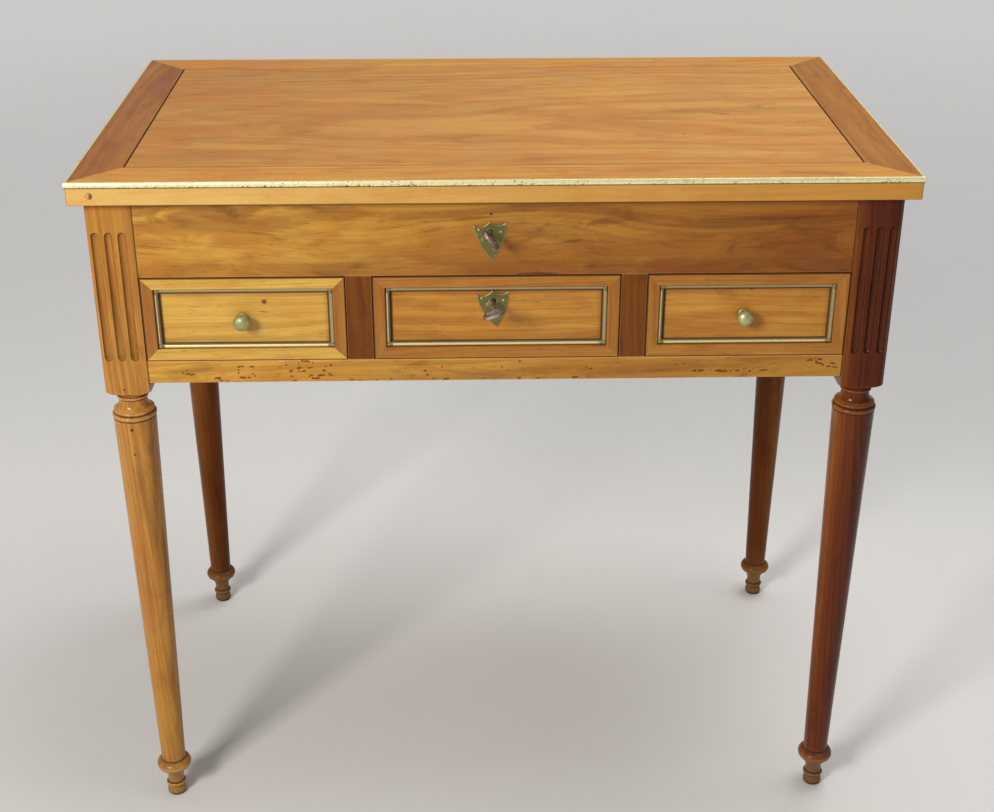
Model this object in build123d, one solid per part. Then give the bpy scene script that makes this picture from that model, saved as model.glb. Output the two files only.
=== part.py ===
from build123d import *
import os

# A small Louis XVI dressing table (poudreuse) in cherry: four turned legs carry a case with a
# compartment under a hinged lid, and a row of three drawers below a fixed frieze.
# Millimetres. X runs along the front, +Y to the back, +Z up. The origin is on the floor, in the
# middle of the box that holds the whole table with its keys.

# ---------------------------------------------------------------- case
case_width = 777.0
case_depth = 445.0
post_side = 44.0
post_chamfer = 3.0
board = 18.0
side_setback = 1.0
frieze_height = 77.0
drawer_row_height = 88.0
bottom_rail_height = 23.5
post_drop = 13.0
turned_height = 516.0
divider_width = 25.0
centre_opening = 242.0
tenon_thickness = 8.0
tenon_length = 15.0
tenon_shoulder = 5.0
stub_length = 6.0
joint_fit = 0.1
past = 1.0  # how far a cutter runs past the face that it opens
quarter_round = 0.293  # how far the middle of a quarter round stays from its corner, over its radius

# ---------------------------------------------------------------- flutes of the posts
flute_radius = 4.2
flute_sink = 3.2
flute_pitch = 12.7
flute_offset = 1.5
flute_count = 3
flute_top_margin = 31.0

# ---------------------------------------------------------------- turning of the legs, from the floor up
foot_radius = 10.2
foot_sole_radius = 8.0
foot_middle = 5.5
foot_top = 11.5
foot_top_radius = 8.6
foot_swell_radius = 9.8
foot_neck_radius = 9.2
foot_bead_radius = 11.0
foot_bead_low = 13.0
foot_bead_high = 17.0
cup_middle = 26.0
cup_top = 34.0
cup_radius = 12.4
ring_radius = 19.0
ring_edge_radius = 15.2
ring_low = 36.5
ring_high = 48.0
ankle_radius = 13.2
ankle_step_radius = 13.7
ankle_step = 0.6
ankle_height = 51.0

# ---------------------------------------------------------------- turning of the legs, from the block down
shaft_radius = 21.5
shaft_top_drop = 31.2
collar_radius = 22.3
collar_top_radius = 21.1
collar_top_drop = 26.8
quirk_radius = 20.4
quirk_low_drop = 26.5
quirk_high_drop = 25.2
cushion_middle_drop = 23.4
cushion_top_radius = 18.7
cushion_top_drop = 22.2
neck_radius = 14.2
neck_flare = 1.2
neck_middle_drop = 18.4
neck_low_drop = 13.2
neck_high_drop = 10.9
neck_ring_radius = 16.0
neck_ring_top_radius = 14.6
neck_ring_top_drop = 6.9
cove_low_drop = 6.0
cove_middle_drop = 2.2
cove_flare = 1.8
cove_top_radius = 20.5
block_turning_radius = 32.1
shoulder_middle_radius = 28.9
shoulder_rise = 5.5
shoulder_depth = 6.5

# ---------------------------------------------------------------- compartment under the lid
well_floor = 8.0
well_groove = 5.0
partition_thickness = 8.0
partition_height = 54.0

# ---------------------------------------------------------------- drawer runners and guides
runner_thickness = 16.0
runner_bearing = 14.0
guide_height = 20.0

# ---------------------------------------------------------------- drawers
drawer_gap_side = 0.8
drawer_gap_below = 0.3
drawer_gap_above = 1.1
drawer_back_gap = 12.0
drawer_side_thickness = 9.0
drawer_side_drop = 6.0
drawer_bottom_thickness = 6.0
drawer_bottom_lift = 5.0
drawer_groove = 4.0
tail_count = 2
tail_length = 9.0
tail_slope = 0.16
pin_width = 9.0
field_sink = 6.0
frame_width = 12.0
frame_round = 1.2
bead_width = 4.2
bead_height = 3.6
bead_shoulder = 1.6

# ---------------------------------------------------------------- lid
lid_thickness = 22.5
overhang_side = 13.0
overhang_front = 14.5
overhang_back = 9.0
lid_border = 47.5
lid_corner_radius = 2.5
lid_lower_edge_cut = 0.8
side_joint_gap = 1.0
panel_fit = 0.1
tongue_thickness = 6.0
tongue_length = 5.5
tongue_room = 0.5
brass_height = 6.0
brass_rebate = 2.0
brass_proud = 1.0
brass_round = 1.2

# ---------------------------------------------------------------- mirror in the lid
mirror_width = 520.0
mirror_depth = 280.0
glass_thickness = 4.0
mirror_bead_width = 12.0
mirror_bead_thickness = 5.0
mirror_bead_set_in = 0.3
mirror_fit = 0.2

# ---------------------------------------------------------------- butt hinges
hinge_spread = 500.0
hinge_length = 50.0
hinge_barrel_radius = 2.3
hinge_setback = 2.6
hinge_relief = 0.4
leaf_thickness = 1.3
leaf_depth = 14.0
knuckle_gap = 0.3
pin_radius = 1.1
pin_fit = 0.05
screw_count = 3
screw_pitch = 17.0
screw_head_radius = 2.4
screw_head_depth = 1.2
screw_shank_radius = 1.1
screw_length = 9.0
screw_point = 2.0
screw_fit = 0.05

# ---------------------------------------------------------------- locks and keys
lock_depth = 9.0
lock_thickness = 12.0
lock_width = 52.0
lock_below_key = 13.5
lock_wall = 1.5
selvedge_width = 64.0
selvedge_thickness = 1.5
lock_pin_radius = 1.25
lock_pin_length = 8.0
bolt_throw = 8.0
bolt_thickness = 2.5
bolt_rim = 3.2
bolt_head_width = 16.0
bolt_head_thickness = 4.5
bolt_rest_sink = 0.5
bolt_room = 0.6
bolt_tip_gap = 0.9
staple_width = 3.0
staple_offset = 6.5
staple_wall = 1.7
staple_bar = 2.0
staple_drop = 12.3
strike_width = 44.0
strike_thickness = 1.5
staple_room = 0.5
key_shank_radius = 2.4
key_bore_fit = 0.05
key_room = 0.7
key_bit_reach = 6.5
key_bit_width = 5.0
key_bit_thickness = 2.2
key_collar_radius = 3.6
key_collar_length = 1.6
key_collar_setback = 1.0
key_bow_width = 22.5
key_bow_length = 16.0
key_bow_rim = 3.6
key_bow_thickness = 3.8
key_bow_chamfer = 0.9
key_inside = 9.0
lid_key_reach = 30.0
drawer_key_reach = 36.0
lid_key_turned = 39.0
drawer_key_turned = -68.0
lid_key_drop = 33.2
drawer_key_drop = 27.8
lid_lock_x = -6.0
drawer_lock_x = -3.0

# ---------------------------------------------------------------- shield escutcheons
shield_width = 32.0
shield_height = 39.6
shield_thickness = 1.6
shield_bevel = 0.9
shield_key_offset = 8.8
lid_shield_lean = 4.5
drawer_shield_lean = 6.5
shield_waist_drop = 16.2
shield_waist_width = 27.0
shield_corner_drop = 2.4
scallop_drop = 4.5
scallop_span = 14.4

# ---------------------------------------------------------------- drawer knobs
knob_radius = 8.4
knob_reach = 18.0
knob_dome = 5.0
knob_dome_rise = 1.5
knob_dome_radius = 5.9
knob_under_radius = 7.2
knob_under_depth = 2.6
knob_neck_radius = 3.6
knob_neck_start = 3.8
knob_waist_radius = 3.1
knob_waist_height = 5.0
knob_foot_radius = 5.6
knob_foot_height = 1.6
knob_foot_edge = 0.6
knob_shank_radius = 2.8
knob_shank_fit = 0.1
knob_tail = 3.0
knob_left_of_middle = 2.3
knob_below_middle = 1.0

# ---------------------------------------------------------------- levels and planes that follow
key_reach = max(lid_key_reach, drawer_key_reach)
overall_depth = key_reach + case_depth + overhang_back
front = key_reach - overall_depth / 2
back = front + case_depth
outer_x = case_width / 2
inner_x = outer_x - post_side
rail_bottom = turned_height + post_drop
row_bottom = rail_bottom + bottom_rail_height
row_top = row_bottom + drawer_row_height
case_top = row_top + frieze_height
divider_x = (centre_opening + divider_width) / 2
side_face = outer_x - side_setback
side_inner = side_face - board
lid_width = case_width + 2 * overhang_side
lid_depth = overhang_front + case_depth + overhang_back
lid_y = (front - overhang_front + back + overhang_back) / 2
hinge_y = back + hinge_setback
lock_front = front + lock_depth
lid_key_z = case_top - lid_key_drop
drawer_top = row_top - drawer_gap_above
drawer_key_z = drawer_top - drawer_key_drop


# ---------------------------------------------------------------- helpers
def slab(x, y, z):
    """Box between (low, high) pairs along X, Y and Z."""
    size = (x[1] - x[0], y[1] - y[0], z[1] - z[0])
    return Pos(x[0], y[0], z[0]) * Box(*size, align=(Align.MIN, Align.MIN, Align.MIN))


def grown(span, by):
    """A (low, high) pair made wider by the same amount at both ends."""
    return (span[0] - by, span[1] + by)


def about(centre, size):
    """The (low, high) pair of a given size about a centre."""
    return (centre - size / 2, centre + size / 2)


def outline(start, *steps):
    """Closed face. A step (x, y) is a line, and ((x, y), (x, y)) an arc through the first point."""
    edges = []
    at = start
    for step in steps:
        arc = isinstance(step[0], tuple)
        edges.append(ThreePointArc(at, step[0], step[1]) if arc else Line(at, step))
        at = step[1] if arc else step
    if at != start:
        edges.append(Line(at, start))
    return make_face(edges)


def prism(face, span):
    """A flat face drawn in the XY plane, made solid between a (low, high) pair along Z."""
    half = (span[1] - span[0]) / 2
    return Pos(0, 0, sum(span) / 2) * extrude(face, half, both=True)


def prism_x(face, span):
    """A face whose x runs along Y and y along Z, made solid between a (low, high) pair along X."""
    half = (span[1] - span[0]) / 2
    return Pos(sum(span) / 2, 0, 0) * extrude(Plane.YZ * face, half, both=True)


def prism_y(face, span):
    """A face whose x runs along X and y along Z, made solid between a (low, high) pair along Y."""
    half = (span[1] - span[0]) / 2
    return Pos(0, sum(span) / 2, 0) * extrude(Plane.XZ * face, half, both=True)


def mitred_bar(section, length, reach):
    """Bar along X, ends cut at 45 degrees. The section's x is the distance in from the edge."""
    half = length / 2
    bar = prism_x(section, (-half, half))
    plan = Polygon((-half, 0), (half, 0), (half - reach, reach), (reach - half, reach), align=None)
    return bar & prism(plan, (-length, length))


def mitred_frame(section, width, depth, reach):
    """Front, rear, left and right bars of a mitred frame around the origin, in the XY plane."""
    along_x = mitred_bar(section, width, reach)
    along_y = mitred_bar(section, depth, reach)
    return [
        Pos(0, -depth / 2, 0) * along_x,
        Pos(0, depth / 2, 0) * Rot(0, 0, 180) * along_x,
        Pos(-width / 2, 0, 0) * Rot(0, 0, -90) * along_y,
        Pos(width / 2, 0, 0) * Rot(0, 0, 90) * along_y,
    ]


def facing_front(shape):
    """Turns a shape drawn flat, with its face up, so that its face looks to the front."""
    return Rot(90, 0, 0) * shape


def cylinder_y(radius, y):
    """Cylinder along Y about X = Z = 0 between a (low, high) pair."""
    return prism_y(Circle(radius), y)


def cylinder_x(radius, x):
    """Cylinder along X about Y = Z = 0 between a (low, high) pair."""
    return prism_x(Circle(radius), x)


# ---------------------------------------------------------------- tenons shared with the posts
front_y_span = (front, front + board)
back_y_span = (back - board, back)
side_x_span = (side_inner, side_face)
post_y = {-1: (front, front + post_side), 1: (back - post_side, back)}


def cross_tenon(y_span, z_span, fit=0.0):
    """Tenon at each end of a board along X, or with a fit, what it needs in the posts."""
    y = grown(about(sum(y_span) / 2, tenon_thickness), fit)
    z = grown((z_span[0] + tenon_shoulder, z_span[1] - tenon_shoulder), fit)
    return slab((-inner_x - tenon_length - fit, inner_x + tenon_length + fit), y, z)


def side_tenon(fit=0.0):
    """Tenon at each end of the left side panel, or with a fit, what it needs in the posts."""
    x = grown(about(-sum(side_x_span) / 2, tenon_thickness), fit)
    y = (post_y[-1][1] - tenon_length - fit, post_y[1][0] + tenon_length + fit)
    z = grown((rail_bottom + tenon_shoulder, case_top - tenon_shoulder), fit)
    return slab(x, y, z)


# ---------------------------------------------------------------- corner legs
def foot_steps():
    """Outline of a foot and its ring, from the floor to where the taper starts."""
    foot_middle_low = foot_middle * (1 - quarter_round) / 2
    foot_middle_high = (foot_middle + foot_top) / 2
    return [
        (foot_sole_radius, 0),
        ((foot_swell_radius, foot_middle_low), (foot_radius, foot_middle)),
        ((foot_swell_radius, foot_middle_high), (foot_top_radius, foot_top)),
        (foot_neck_radius, foot_bead_low),
        ((foot_bead_radius, (foot_bead_low + foot_bead_high) / 2), (foot_neck_radius, foot_bead_high)),
        ((foot_neck_radius, cup_middle), (cup_radius, cup_top)),
        (ring_edge_radius, ring_low),
        ((ring_radius, (ring_low + ring_high) / 2), (ring_edge_radius, ring_high)),
        (ankle_step_radius, ring_high + ankle_step),
        (ankle_radius, ankle_height),
    ]


def neck_steps():
    """Outline from the top of the taper to the block: collar, quirk, neck with its ring, and cove."""
    top = turned_height
    collar_drop = (shaft_top_drop + collar_top_drop) / 2
    ring_drop = (neck_high_drop + neck_ring_top_drop) / 2
    return [
        (shaft_radius, top - shaft_top_drop),
        ((collar_radius, top - collar_drop), (collar_top_radius, top - collar_top_drop)),
        (quirk_radius, top - quirk_low_drop),
        (quirk_radius, top - quirk_high_drop),
        ((quirk_radius, top - cushion_middle_drop), (cushion_top_radius, top - cushion_top_drop)),
        ((neck_radius + neck_flare, top - neck_middle_drop), (neck_radius, top - neck_low_drop)),
        (neck_radius, top - neck_high_drop),
        ((neck_ring_radius, top - ring_drop), (neck_ring_top_radius, top - neck_ring_top_drop)),
        (neck_ring_top_radius, top - cove_low_drop),
        ((neck_ring_top_radius + cove_flare, top - cove_middle_drop), (cove_top_radius, top)),
    ]


def leg_profile():
    """Half outline of a leg. Above the turning it is wide enough to leave the block square."""
    shoulder = turned_height + shoulder_rise
    shoulder_middle = turned_height + shoulder_rise * quarter_round
    return outline(
        (0, 0),
        *foot_steps(),
        *neck_steps(),
        ((shoulder_middle_radius, shoulder_middle), (block_turning_radius, shoulder)),
        (block_turning_radius, case_top),
        (0, case_top),
    )


def flute_cutters(normal_x, normal_y, centre_x, centre_y, outward):
    """Round-bottomed, round-ended grooves for one face of a post, stopped at drawer and frieze."""
    low = row_bottom + flute_radius
    high = case_top - flute_top_margin - flute_radius
    away = post_side / 2 + flute_radius - flute_sink
    first = -(flute_count - 1) / 2
    cutters = []
    for index in range(flute_count):
        across = (first + index) * flute_pitch + outward * flute_offset
        x = centre_x + normal_x * away + (0 if normal_x else across)
        y = centre_y + normal_y * away + (0 if normal_y else across)
        groove = Pos(x, y, (low + high) / 2) * Cylinder(flute_radius, high - low)
        groove += Pos(x, y, low) * Sphere(flute_radius)
        groove += Pos(x, y, high) * Sphere(flute_radius)
        cutters.append(groove)
    return cutters


def left_leg(end):
    """Left corner leg, end -1 at the front and 1 at the back: block and turning in one piece."""
    x = -(outer_x - post_side / 2)
    y = sum(post_y[end]) / 2
    half = post_side / 2
    cut = post_chamfer
    plan = Polygon(
        (-half, -end * half),
        (half, -end * half),
        (half, end * half),
        (cut - half, end * half),
        (-half, end * (half - cut)),
        align=None,
    )
    split = turned_height - shoulder_depth
    block = prism(plan, (split, case_top))
    turned = prism(Circle(collar_radius + past), (0, split))
    leg = revolve(Plane.XZ * leg_profile(), axis=Axis.Z) & (block + turned)
    leg = Pos(x, y, 0) * leg
    for groove in flute_cutters(-1, 0, x, y, end):
        leg -= groove
    if end < 0:
        for groove in flute_cutters(0, -1, x, y, -1):
            leg -= groove
        leg -= cross_tenon(front_y_span, (row_top, case_top), joint_fit)
        leg -= cross_tenon(front_y_span, (rail_bottom, row_bottom), joint_fit)
    else:
        leg -= cross_tenon(back_y_span, (rail_bottom, case_top), joint_fit)
    return leg - side_tenon(joint_fit)


def post_room(side, end, z):
    """What a board inside the case leaves out for one corner post."""
    x = sorted((side * (inner_x - joint_fit), side * (outer_x + past)))
    return slab(x, grown(post_y[end], joint_fit), z)


# ---------------------------------------------------------------- boards of the case
def divider_stub(side, z_span, fit=0.0):
    """Stub tenon at one end of a drawer divider."""
    x = grown(about(side * divider_x, divider_width - 2 * tenon_shoulder), fit)
    y = grown(about(front + board / 2, tenon_thickness), fit)
    return slab(x, y, z_span)


def well_floor_blank(fit=0.0):
    """Floor of the compartment with its grooved-in edges, or with a fit, the groove it needs."""
    reach = well_groove + fit
    x = (-side_inner - reach, side_inner + reach)
    y = (front + board - reach, back - board + reach)
    return slab(x, y, (row_top, row_top + well_floor + fit))


def drawer_bolt_mortise():
    """Hole above the middle drawer that its bolt rises into."""
    x = grown(about(drawer_lock_x, bolt_head_width), bolt_room)
    y = grown(about(lock_front + lock_thickness / 2, bolt_head_thickness), bolt_room)
    return slab(x, y, (row_top, row_top + bolt_throw))


def frieze_board():
    """Fixed false front above the drawers, with the lid's lock let into its inner face."""
    z = (row_top, case_top)
    blank = slab((-inner_x, inner_x), front_y_span, z) + cross_tenon(front_y_span, z)
    blank -= well_floor_blank(joint_fit)
    for side in (-1, 1):
        blank -= divider_stub(side, (row_top, row_top + stub_length + joint_fit), joint_fit)
    blank -= at_lid_lock(lock_recess(lid_key_drop))
    blank -= at_lid_lock(keyhole(grown((-lock_depth, 0), past)))
    return blank - drawer_bolt_mortise()


def bottom_rail():
    """Front rail under the drawers."""
    z = (rail_bottom, row_bottom)
    rail = slab((-inner_x, inner_x), front_y_span, z) + cross_tenon(front_y_span, z)
    for side in (-1, 1):
        rail -= divider_stub(side, (row_bottom - stub_length - joint_fit, row_bottom), joint_fit)
    return rail


def divider(side):
    """Upright between two drawers, stub-tenoned into the frieze and the bottom rail."""
    upright = slab(about(side * divider_x, divider_width), front_y_span, (row_bottom, row_top))
    return upright + divider_stub(side, (row_bottom - stub_length, row_top + stub_length))


def left_side_panel():
    """Left side board between its two posts, grooved for the compartment's floor."""
    y = (post_y[-1][1], post_y[1][0])
    panel = slab((-side_face, -side_inner), y, (rail_bottom, case_top)) + side_tenon()
    return panel - well_floor_blank(joint_fit)


def back_panel():
    """Back board between the rear posts, let in at the top for the hinges."""
    z = (rail_bottom, case_top)
    panel = slab((-inner_x, inner_x), back_y_span, z) + cross_tenon(back_y_span, z)
    panel -= well_floor_blank(joint_fit)
    for x in hinge_places():
        panel -= Pos(x, 0, 0) * leaf_recess(-1)
        for screw in screw_places(x):
            panel -= screw * Rot(180, 0, 0) * screw_shape(screw_fit)
    return panel


def well_bottom():
    """Floor of the compartment, notched round the four posts and for the drawer's bolt."""
    floor = well_floor_blank()
    for side in (-1, 1):
        for end in (-1, 1):
            floor -= post_room(side, end, (row_top - past, case_top))
    return floor - drawer_bolt_mortise()


def well_partition(side):
    """Board that parts the side wells from the middle one, over a drawer divider."""
    floor_top = row_top + well_floor
    x = about(side * divider_x, partition_thickness)
    return slab(x, (front + board, back - board), (floor_top, floor_top + partition_height))


def drawer_runners():
    """Bearers under the drawer sides, between the bottom rail and the back."""
    y = (front + board, back - board)
    z = (row_bottom - runner_thickness, row_bottom)
    runners = []
    for side in (-1, 1):
        x = sorted((side * (inner_x - runner_bearing), side * side_inner))
        bearer = slab(x, y, z)
        for end in (-1, 1):
            bearer -= post_room(side, end, grown(z, past))
        runners.append(bearer)
        runners.append(slab(about(side * divider_x, divider_width + 2 * runner_bearing), y, z))
    return runners


def drawer_guides():
    """Strips on the runners that keep the drawers straight."""
    z = (row_bottom, row_bottom + guide_height)
    between_posts = (post_y[-1][1], post_y[1][0])
    guides = []
    for side in (-1, 1):
        guides.append(slab(sorted((side * inner_x, side * side_inner)), between_posts, z))
        y = (front + board, back - board)
        guides.append(slab(about(side * divider_x, divider_width), y, z))
    return guides


# ---------------------------------------------------------------- locks and keys
def at_lid_lock(shape):
    """Puts lock parts, drawn about the key's axis, into the frieze."""
    return Pos(lid_lock_x, lock_front, lid_key_z) * shape


def at_drawer_lock(shape):
    """Puts lock parts, drawn about the key's axis, into the middle drawer's front."""
    return Pos(drawer_lock_x, lock_front, drawer_key_z) * shape


def keyhole(y):
    """Round hole with a slot below it for the bit, cut between a (low, high) pair along Y."""
    slot_half = key_bit_thickness / 2 + key_room / 2
    slot = slab((-slot_half, slot_half), y, (-key_bit_reach - key_room / 2, 0))
    return cylinder_y(key_shank_radius + key_room, y) + slot


def lock_recess(above):
    """Room for a lock in the inner face and top edge of its board."""
    case = slab(
        grown(about(0, lock_width), joint_fit),
        (0, lock_thickness + past),
        (-lock_below_key - joint_fit, above),
    )
    lip = slab(
        grown(about(0, selvedge_width), joint_fit),
        (0, lock_thickness + past),
        (above - selvedge_thickness, above),
    )
    return case + lip


def lock_case(above, mouth):
    """Iron lock box with its top plate, a keyhole in front and the pin that the key slides on."""
    box = slab(about(0, lock_width), (0, lock_thickness), (-lock_below_key, above))
    box += slab(
        about(0, selvedge_width), (0, lock_thickness), (above - selvedge_thickness, above)
    )
    box -= slab(
        about(0, lock_width - 2 * lock_wall),
        (lock_wall, lock_thickness - lock_wall),
        (lock_wall - lock_below_key, above - selvedge_thickness),
    )
    box -= keyhole((-past, lock_wall + past))
    box -= mouth
    pin_end = lock_thickness - lock_wall
    return box + cylinder_y(lock_pin_radius, (pin_end - lock_pin_length, pin_end))


lock_middle = lock_thickness / 2
bit_sweep = key_bit_reach + bolt_room
lid_thrown_at_rest = bolt_throw * abs(lid_key_turned) / 180
drawer_thrown_at_rest = bolt_throw * abs(drawer_key_turned) / 180
bolt_y_span = about(lock_middle, bolt_thickness)
staple_low = lid_key_drop - staple_drop
staple_x = about(staple_offset, staple_width)
staple_y = about(lock_middle, bolt_thickness + 2 * staple_room + 2 * staple_wall)
arm_low = staple_low + staple_bar + staple_room
arm_high = arm_low + bolt_rim


def drawer_bolt():
    """Bolt that rises out of the middle drawer's top edge: a bridge over the key, and a head."""
    above = drawer_key_drop
    arch_top = bit_sweep + drawer_thrown_at_rest + bolt_rim
    half = bit_sweep + bolt_rim
    bolt = slab((-half, half), bolt_y_span, (-key_bit_reach, arch_top))
    window_z = (-key_bit_reach - past, bit_sweep + drawer_thrown_at_rest)
    bolt -= slab((-bit_sweep, bit_sweep), grown(bolt_y_span, past), window_z)
    head_y = about(lock_middle, bolt_head_thickness)
    head = slab(about(0, bolt_head_width), head_y, (arch_top - past, above - bolt_rest_sink))
    return bolt + head


def drawer_lock_mouth():
    """Slot in the drawer lock's top plate that the bolt's head rises through."""
    x = grown(about(0, bolt_head_width), bolt_room / 2)
    y = grown(about(lock_middle, bolt_head_thickness), bolt_room / 2)
    return slab(x, y, grown((drawer_key_drop - selvedge_thickness, drawer_key_drop), past))


def lid_bolt():
    """Bolt that slides sideways through the lid's staple: a bridge over the key, and an arm."""
    thrown = lid_thrown_at_rest
    left = -bit_sweep - (bolt_throw - thrown)
    right = bit_sweep + thrown
    arch_top = bit_sweep + bolt_rim
    bolt = slab((left - bolt_rim, right + bolt_rim), bolt_y_span, (-key_bit_reach, arch_top))
    window_z = (-key_bit_reach - past, bit_sweep)
    bolt -= slab((left, right), grown(bolt_y_span, past), window_z)
    tip = staple_x[0] - bolt_tip_gap
    arm_x = (left - bolt_rim, left + bolt_rim)
    bolt += slab(arm_x, bolt_y_span, (arch_top - past, arm_high))
    return bolt + slab((left - bolt_rim, tip), bolt_y_span, (arm_low, arm_high))


def lid_bolt_guide():
    """Rib under the lid lock's top plate that keeps the bolt's arm level."""
    x = (-bit_sweep - bolt_throw, 0)
    return slab(x, bolt_y_span, (arm_high, lid_key_drop - selvedge_thickness))


def lid_lock_mouth():
    """Slot in the lid lock's top plate that the staple drops through."""
    z = grown((lid_key_drop - selvedge_thickness, lid_key_drop), past)
    return slab(grown(staple_x, staple_room), grown(staple_y, staple_room), z)


def strike_plate():
    """Plate let into the lid's underside, with the staple that the lid's bolt passes through."""
    low = lid_key_drop
    plate = slab(
        about(staple_offset, strike_width), (0, lock_thickness), (low, low + strike_thickness)
    )
    staple = slab(staple_x, staple_y, (staple_low, low + strike_thickness / 2))
    eye_y = grown(bolt_y_span, staple_room)
    eye_high = staple_low + staple_bar + 2 * staple_room + bolt_rim
    eye = slab(grown(staple_x, past), eye_y, (staple_low + staple_bar, eye_high))
    return plate + staple - eye


def key(reach, turned):
    """Pipe key on the lock's pin, its bit and bow turned from straight down towards +X."""
    inside = key_inside
    bow_end = -lock_depth - reach
    bow_start = bow_end + key_bow_length
    shank = cylinder_y(key_shank_radius, (bow_start - key_bow_rim / 2, inside))
    collar_start = bow_start + key_collar_setback
    collar_y = (collar_start, collar_start + key_collar_length)
    shank += cylinder_y(key_collar_radius, collar_y)
    bit_y = about(lock_middle, key_bit_width)
    half = key_bit_thickness / 2
    shank += slab((-half, half), bit_y, (-key_bit_reach, -key_shank_radius / 2))
    ring = Ellipse(key_bow_width / 2, key_bow_length / 2)
    ring -= Ellipse(key_bow_width / 2 - key_bow_rim, key_bow_length / 2 - key_bow_rim)
    bow = prism(ring, about(0, key_bow_thickness))
    bow = chamfer(bow.edges(), key_bow_chamfer)
    bow = Pos(0, bow_end + key_bow_length / 2, 0) * Rot(0, 90, 0) * bow
    bore_end = lock_thickness - lock_wall - lock_pin_length - key_room
    bore = cylinder_y(lock_pin_radius + key_bore_fit, (bore_end, inside + past))
    return Rot(0, -turned, 0) * (shank + bow - bore)


def shield_escutcheon(lean):
    """Shield plate with three points above, drawn about the key's axis, its tip leaning to +X."""
    half = shield_width / 2
    low = -shield_height / 2 - shield_key_offset
    high = shield_height / 2 - shield_key_offset
    corner = high - shield_corner_drop
    waist = (shield_waist_width / 2, high - shield_waist_drop)
    scallop = (scallop_span / 2, high - scallop_drop)
    shield = outline(
        (0, low),
        (waist, (half, corner)),
        (scallop, (0, high)),
        ((-scallop[0], scallop[1]), (-half, corner)),
        ((-waist[0], waist[1]), (0, low)),
    )
    plate = prism_y(shield, (-shield_thickness, 0))
    front_edges = plate.faces().sort_by(Axis.Y)[0].edges()
    plate = chamfer(front_edges, shield_bevel)
    plate = Rot(0, -lean, 0) * plate
    return plate - keyhole(grown((-shield_thickness, 0), past))


# ---------------------------------------------------------------- drawers
def drawer_tails(x, z, base, direction, fit=0.0):
    """Dovetails of a drawer side: wider at their tips, or with a fit, the sockets they need."""
    pitch = (z[1] - z[0]) / tail_count
    tip = base + direction * (tail_length + fit)
    tails = []
    for index in range(tail_count):
        centre = z[0] + (index + 0.5) * pitch
        narrow = (pitch - pin_width) / 2 + fit
        wide = narrow + tail_slope * tail_length
        plan = Polygon(
            (base - direction * past, centre - narrow),
            (base, centre - narrow),
            (tip, centre - wide),
            (tip, centre + wide),
            (base, centre + narrow),
            (base - direction * past, centre + narrow),
            align=None,
        )
        tails.append(prism_x(plan, x))
    return tails


def cut(shape, cutters):
    """Takes a list of cutters away from a shape."""
    for cutter in cutters:
        shape -= cutter
    return shape


def fuse(shape, additions):
    """Adds a list of shapes to a shape."""
    for addition in additions:
        shape += addition
    return shape


def drawer_frame_section():
    """Section of the applied frame on a drawer front: flat, rounded at its inner edge."""
    w = frame_width
    h = field_sink
    r = frame_round
    turn = r * quarter_round
    return outline((0, 0), (w, 0), (w, h - r), ((w - turn, h - turn), (w - r, h)), (0, h))


def drawer_bead_section():
    """Section of the brass bead inside a drawer's frame: a low half round."""
    w = frame_width
    e = frame_width + bead_width
    low = bead_shoulder
    return outline((w, 0), (e, 0), (e, low), (((w + e) / 2, bead_height), (w, low)))


def drawer(name, centre, opening, locked):
    """All pieces of one drawer, keyed by node name."""
    x = grown(about(centre, opening), -drawer_gap_side)
    z = (row_bottom + drawer_gap_below, drawer_top)
    inner_face = front + board
    end = back - board - drawer_back_gap
    side_z = (z[0], z[1] - drawer_side_drop)
    bottom_z = (z[0] + drawer_bottom_lift, z[0] + drawer_bottom_lift + drawer_bottom_thickness)
    groove_z = grown(bottom_z, joint_fit)
    back_face = end - drawer_side_thickness
    front_board = slab(x, (front + field_sink, inner_face), z)
    back_board = slab(x, (back_face, end), (bottom_z[1], side_z[1]))
    inside_x = (x[0] + drawer_side_thickness, x[1] - drawer_side_thickness)
    bottom_x = grown(inside_x, drawer_groove)
    groove = slab(
        grown(bottom_x, joint_fit), (inner_face - drawer_groove - joint_fit, end + past), groove_z
    )
    sides = []
    for side_x in ((x[0], inside_x[0]), (inside_x[1], x[1])):
        side = slab(side_x, (inner_face, back_face), side_z)
        back_z = (bottom_z[1], side_z[1])
        side = fuse(side, drawer_tails(side_x, side_z, inner_face, -1))
        side = fuse(side, drawer_tails(side_x, back_z, back_face, 1))
        sides.append(side - groove)
        front_board = cut(front_board, drawer_tails(side_x, side_z, inner_face, -1, joint_fit))
        back_board = cut(back_board, drawer_tails(side_x, back_z, back_face, 1, joint_fit))
    front_board -= groove
    bottom = slab(bottom_x, (inner_face - drawer_groove, end), bottom_z)
    place = Pos(centre, front + field_sink, sum(z) / 2)
    width = x[1] - x[0]
    height = z[1] - z[0]
    frame = mitred_frame(drawer_frame_section(), width, height, frame_width)
    beads = mitred_frame(drawer_bead_section(), width, height, frame_width + bead_width)
    pieces = {
        f"{name}_sides": sides,
        f"{name}_back": [back_board],
        f"{name}_bottom": [bottom],
        f"{name}_frame": [place * facing_front(bar) for bar in frame],
        f"{name}_bead": [place * facing_front(bar) for bar in beads],
    }
    if locked:
        front_board -= at_drawer_lock(lock_recess(drawer_key_drop))
        front_board -= at_drawer_lock(keyhole(grown((-lock_depth, 0), past)))
    else:
        at_knob = place * Pos(-knob_left_of_middle, 0, -knob_below_middle)
        front_board -= at_knob * cylinder_y(knob_shank_radius + knob_shank_fit, (-past, board))
        pieces[f"{name}_knob"] = [at_knob * knob()]
    pieces[f"{name}_front"] = [front_board]
    return pieces


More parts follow.
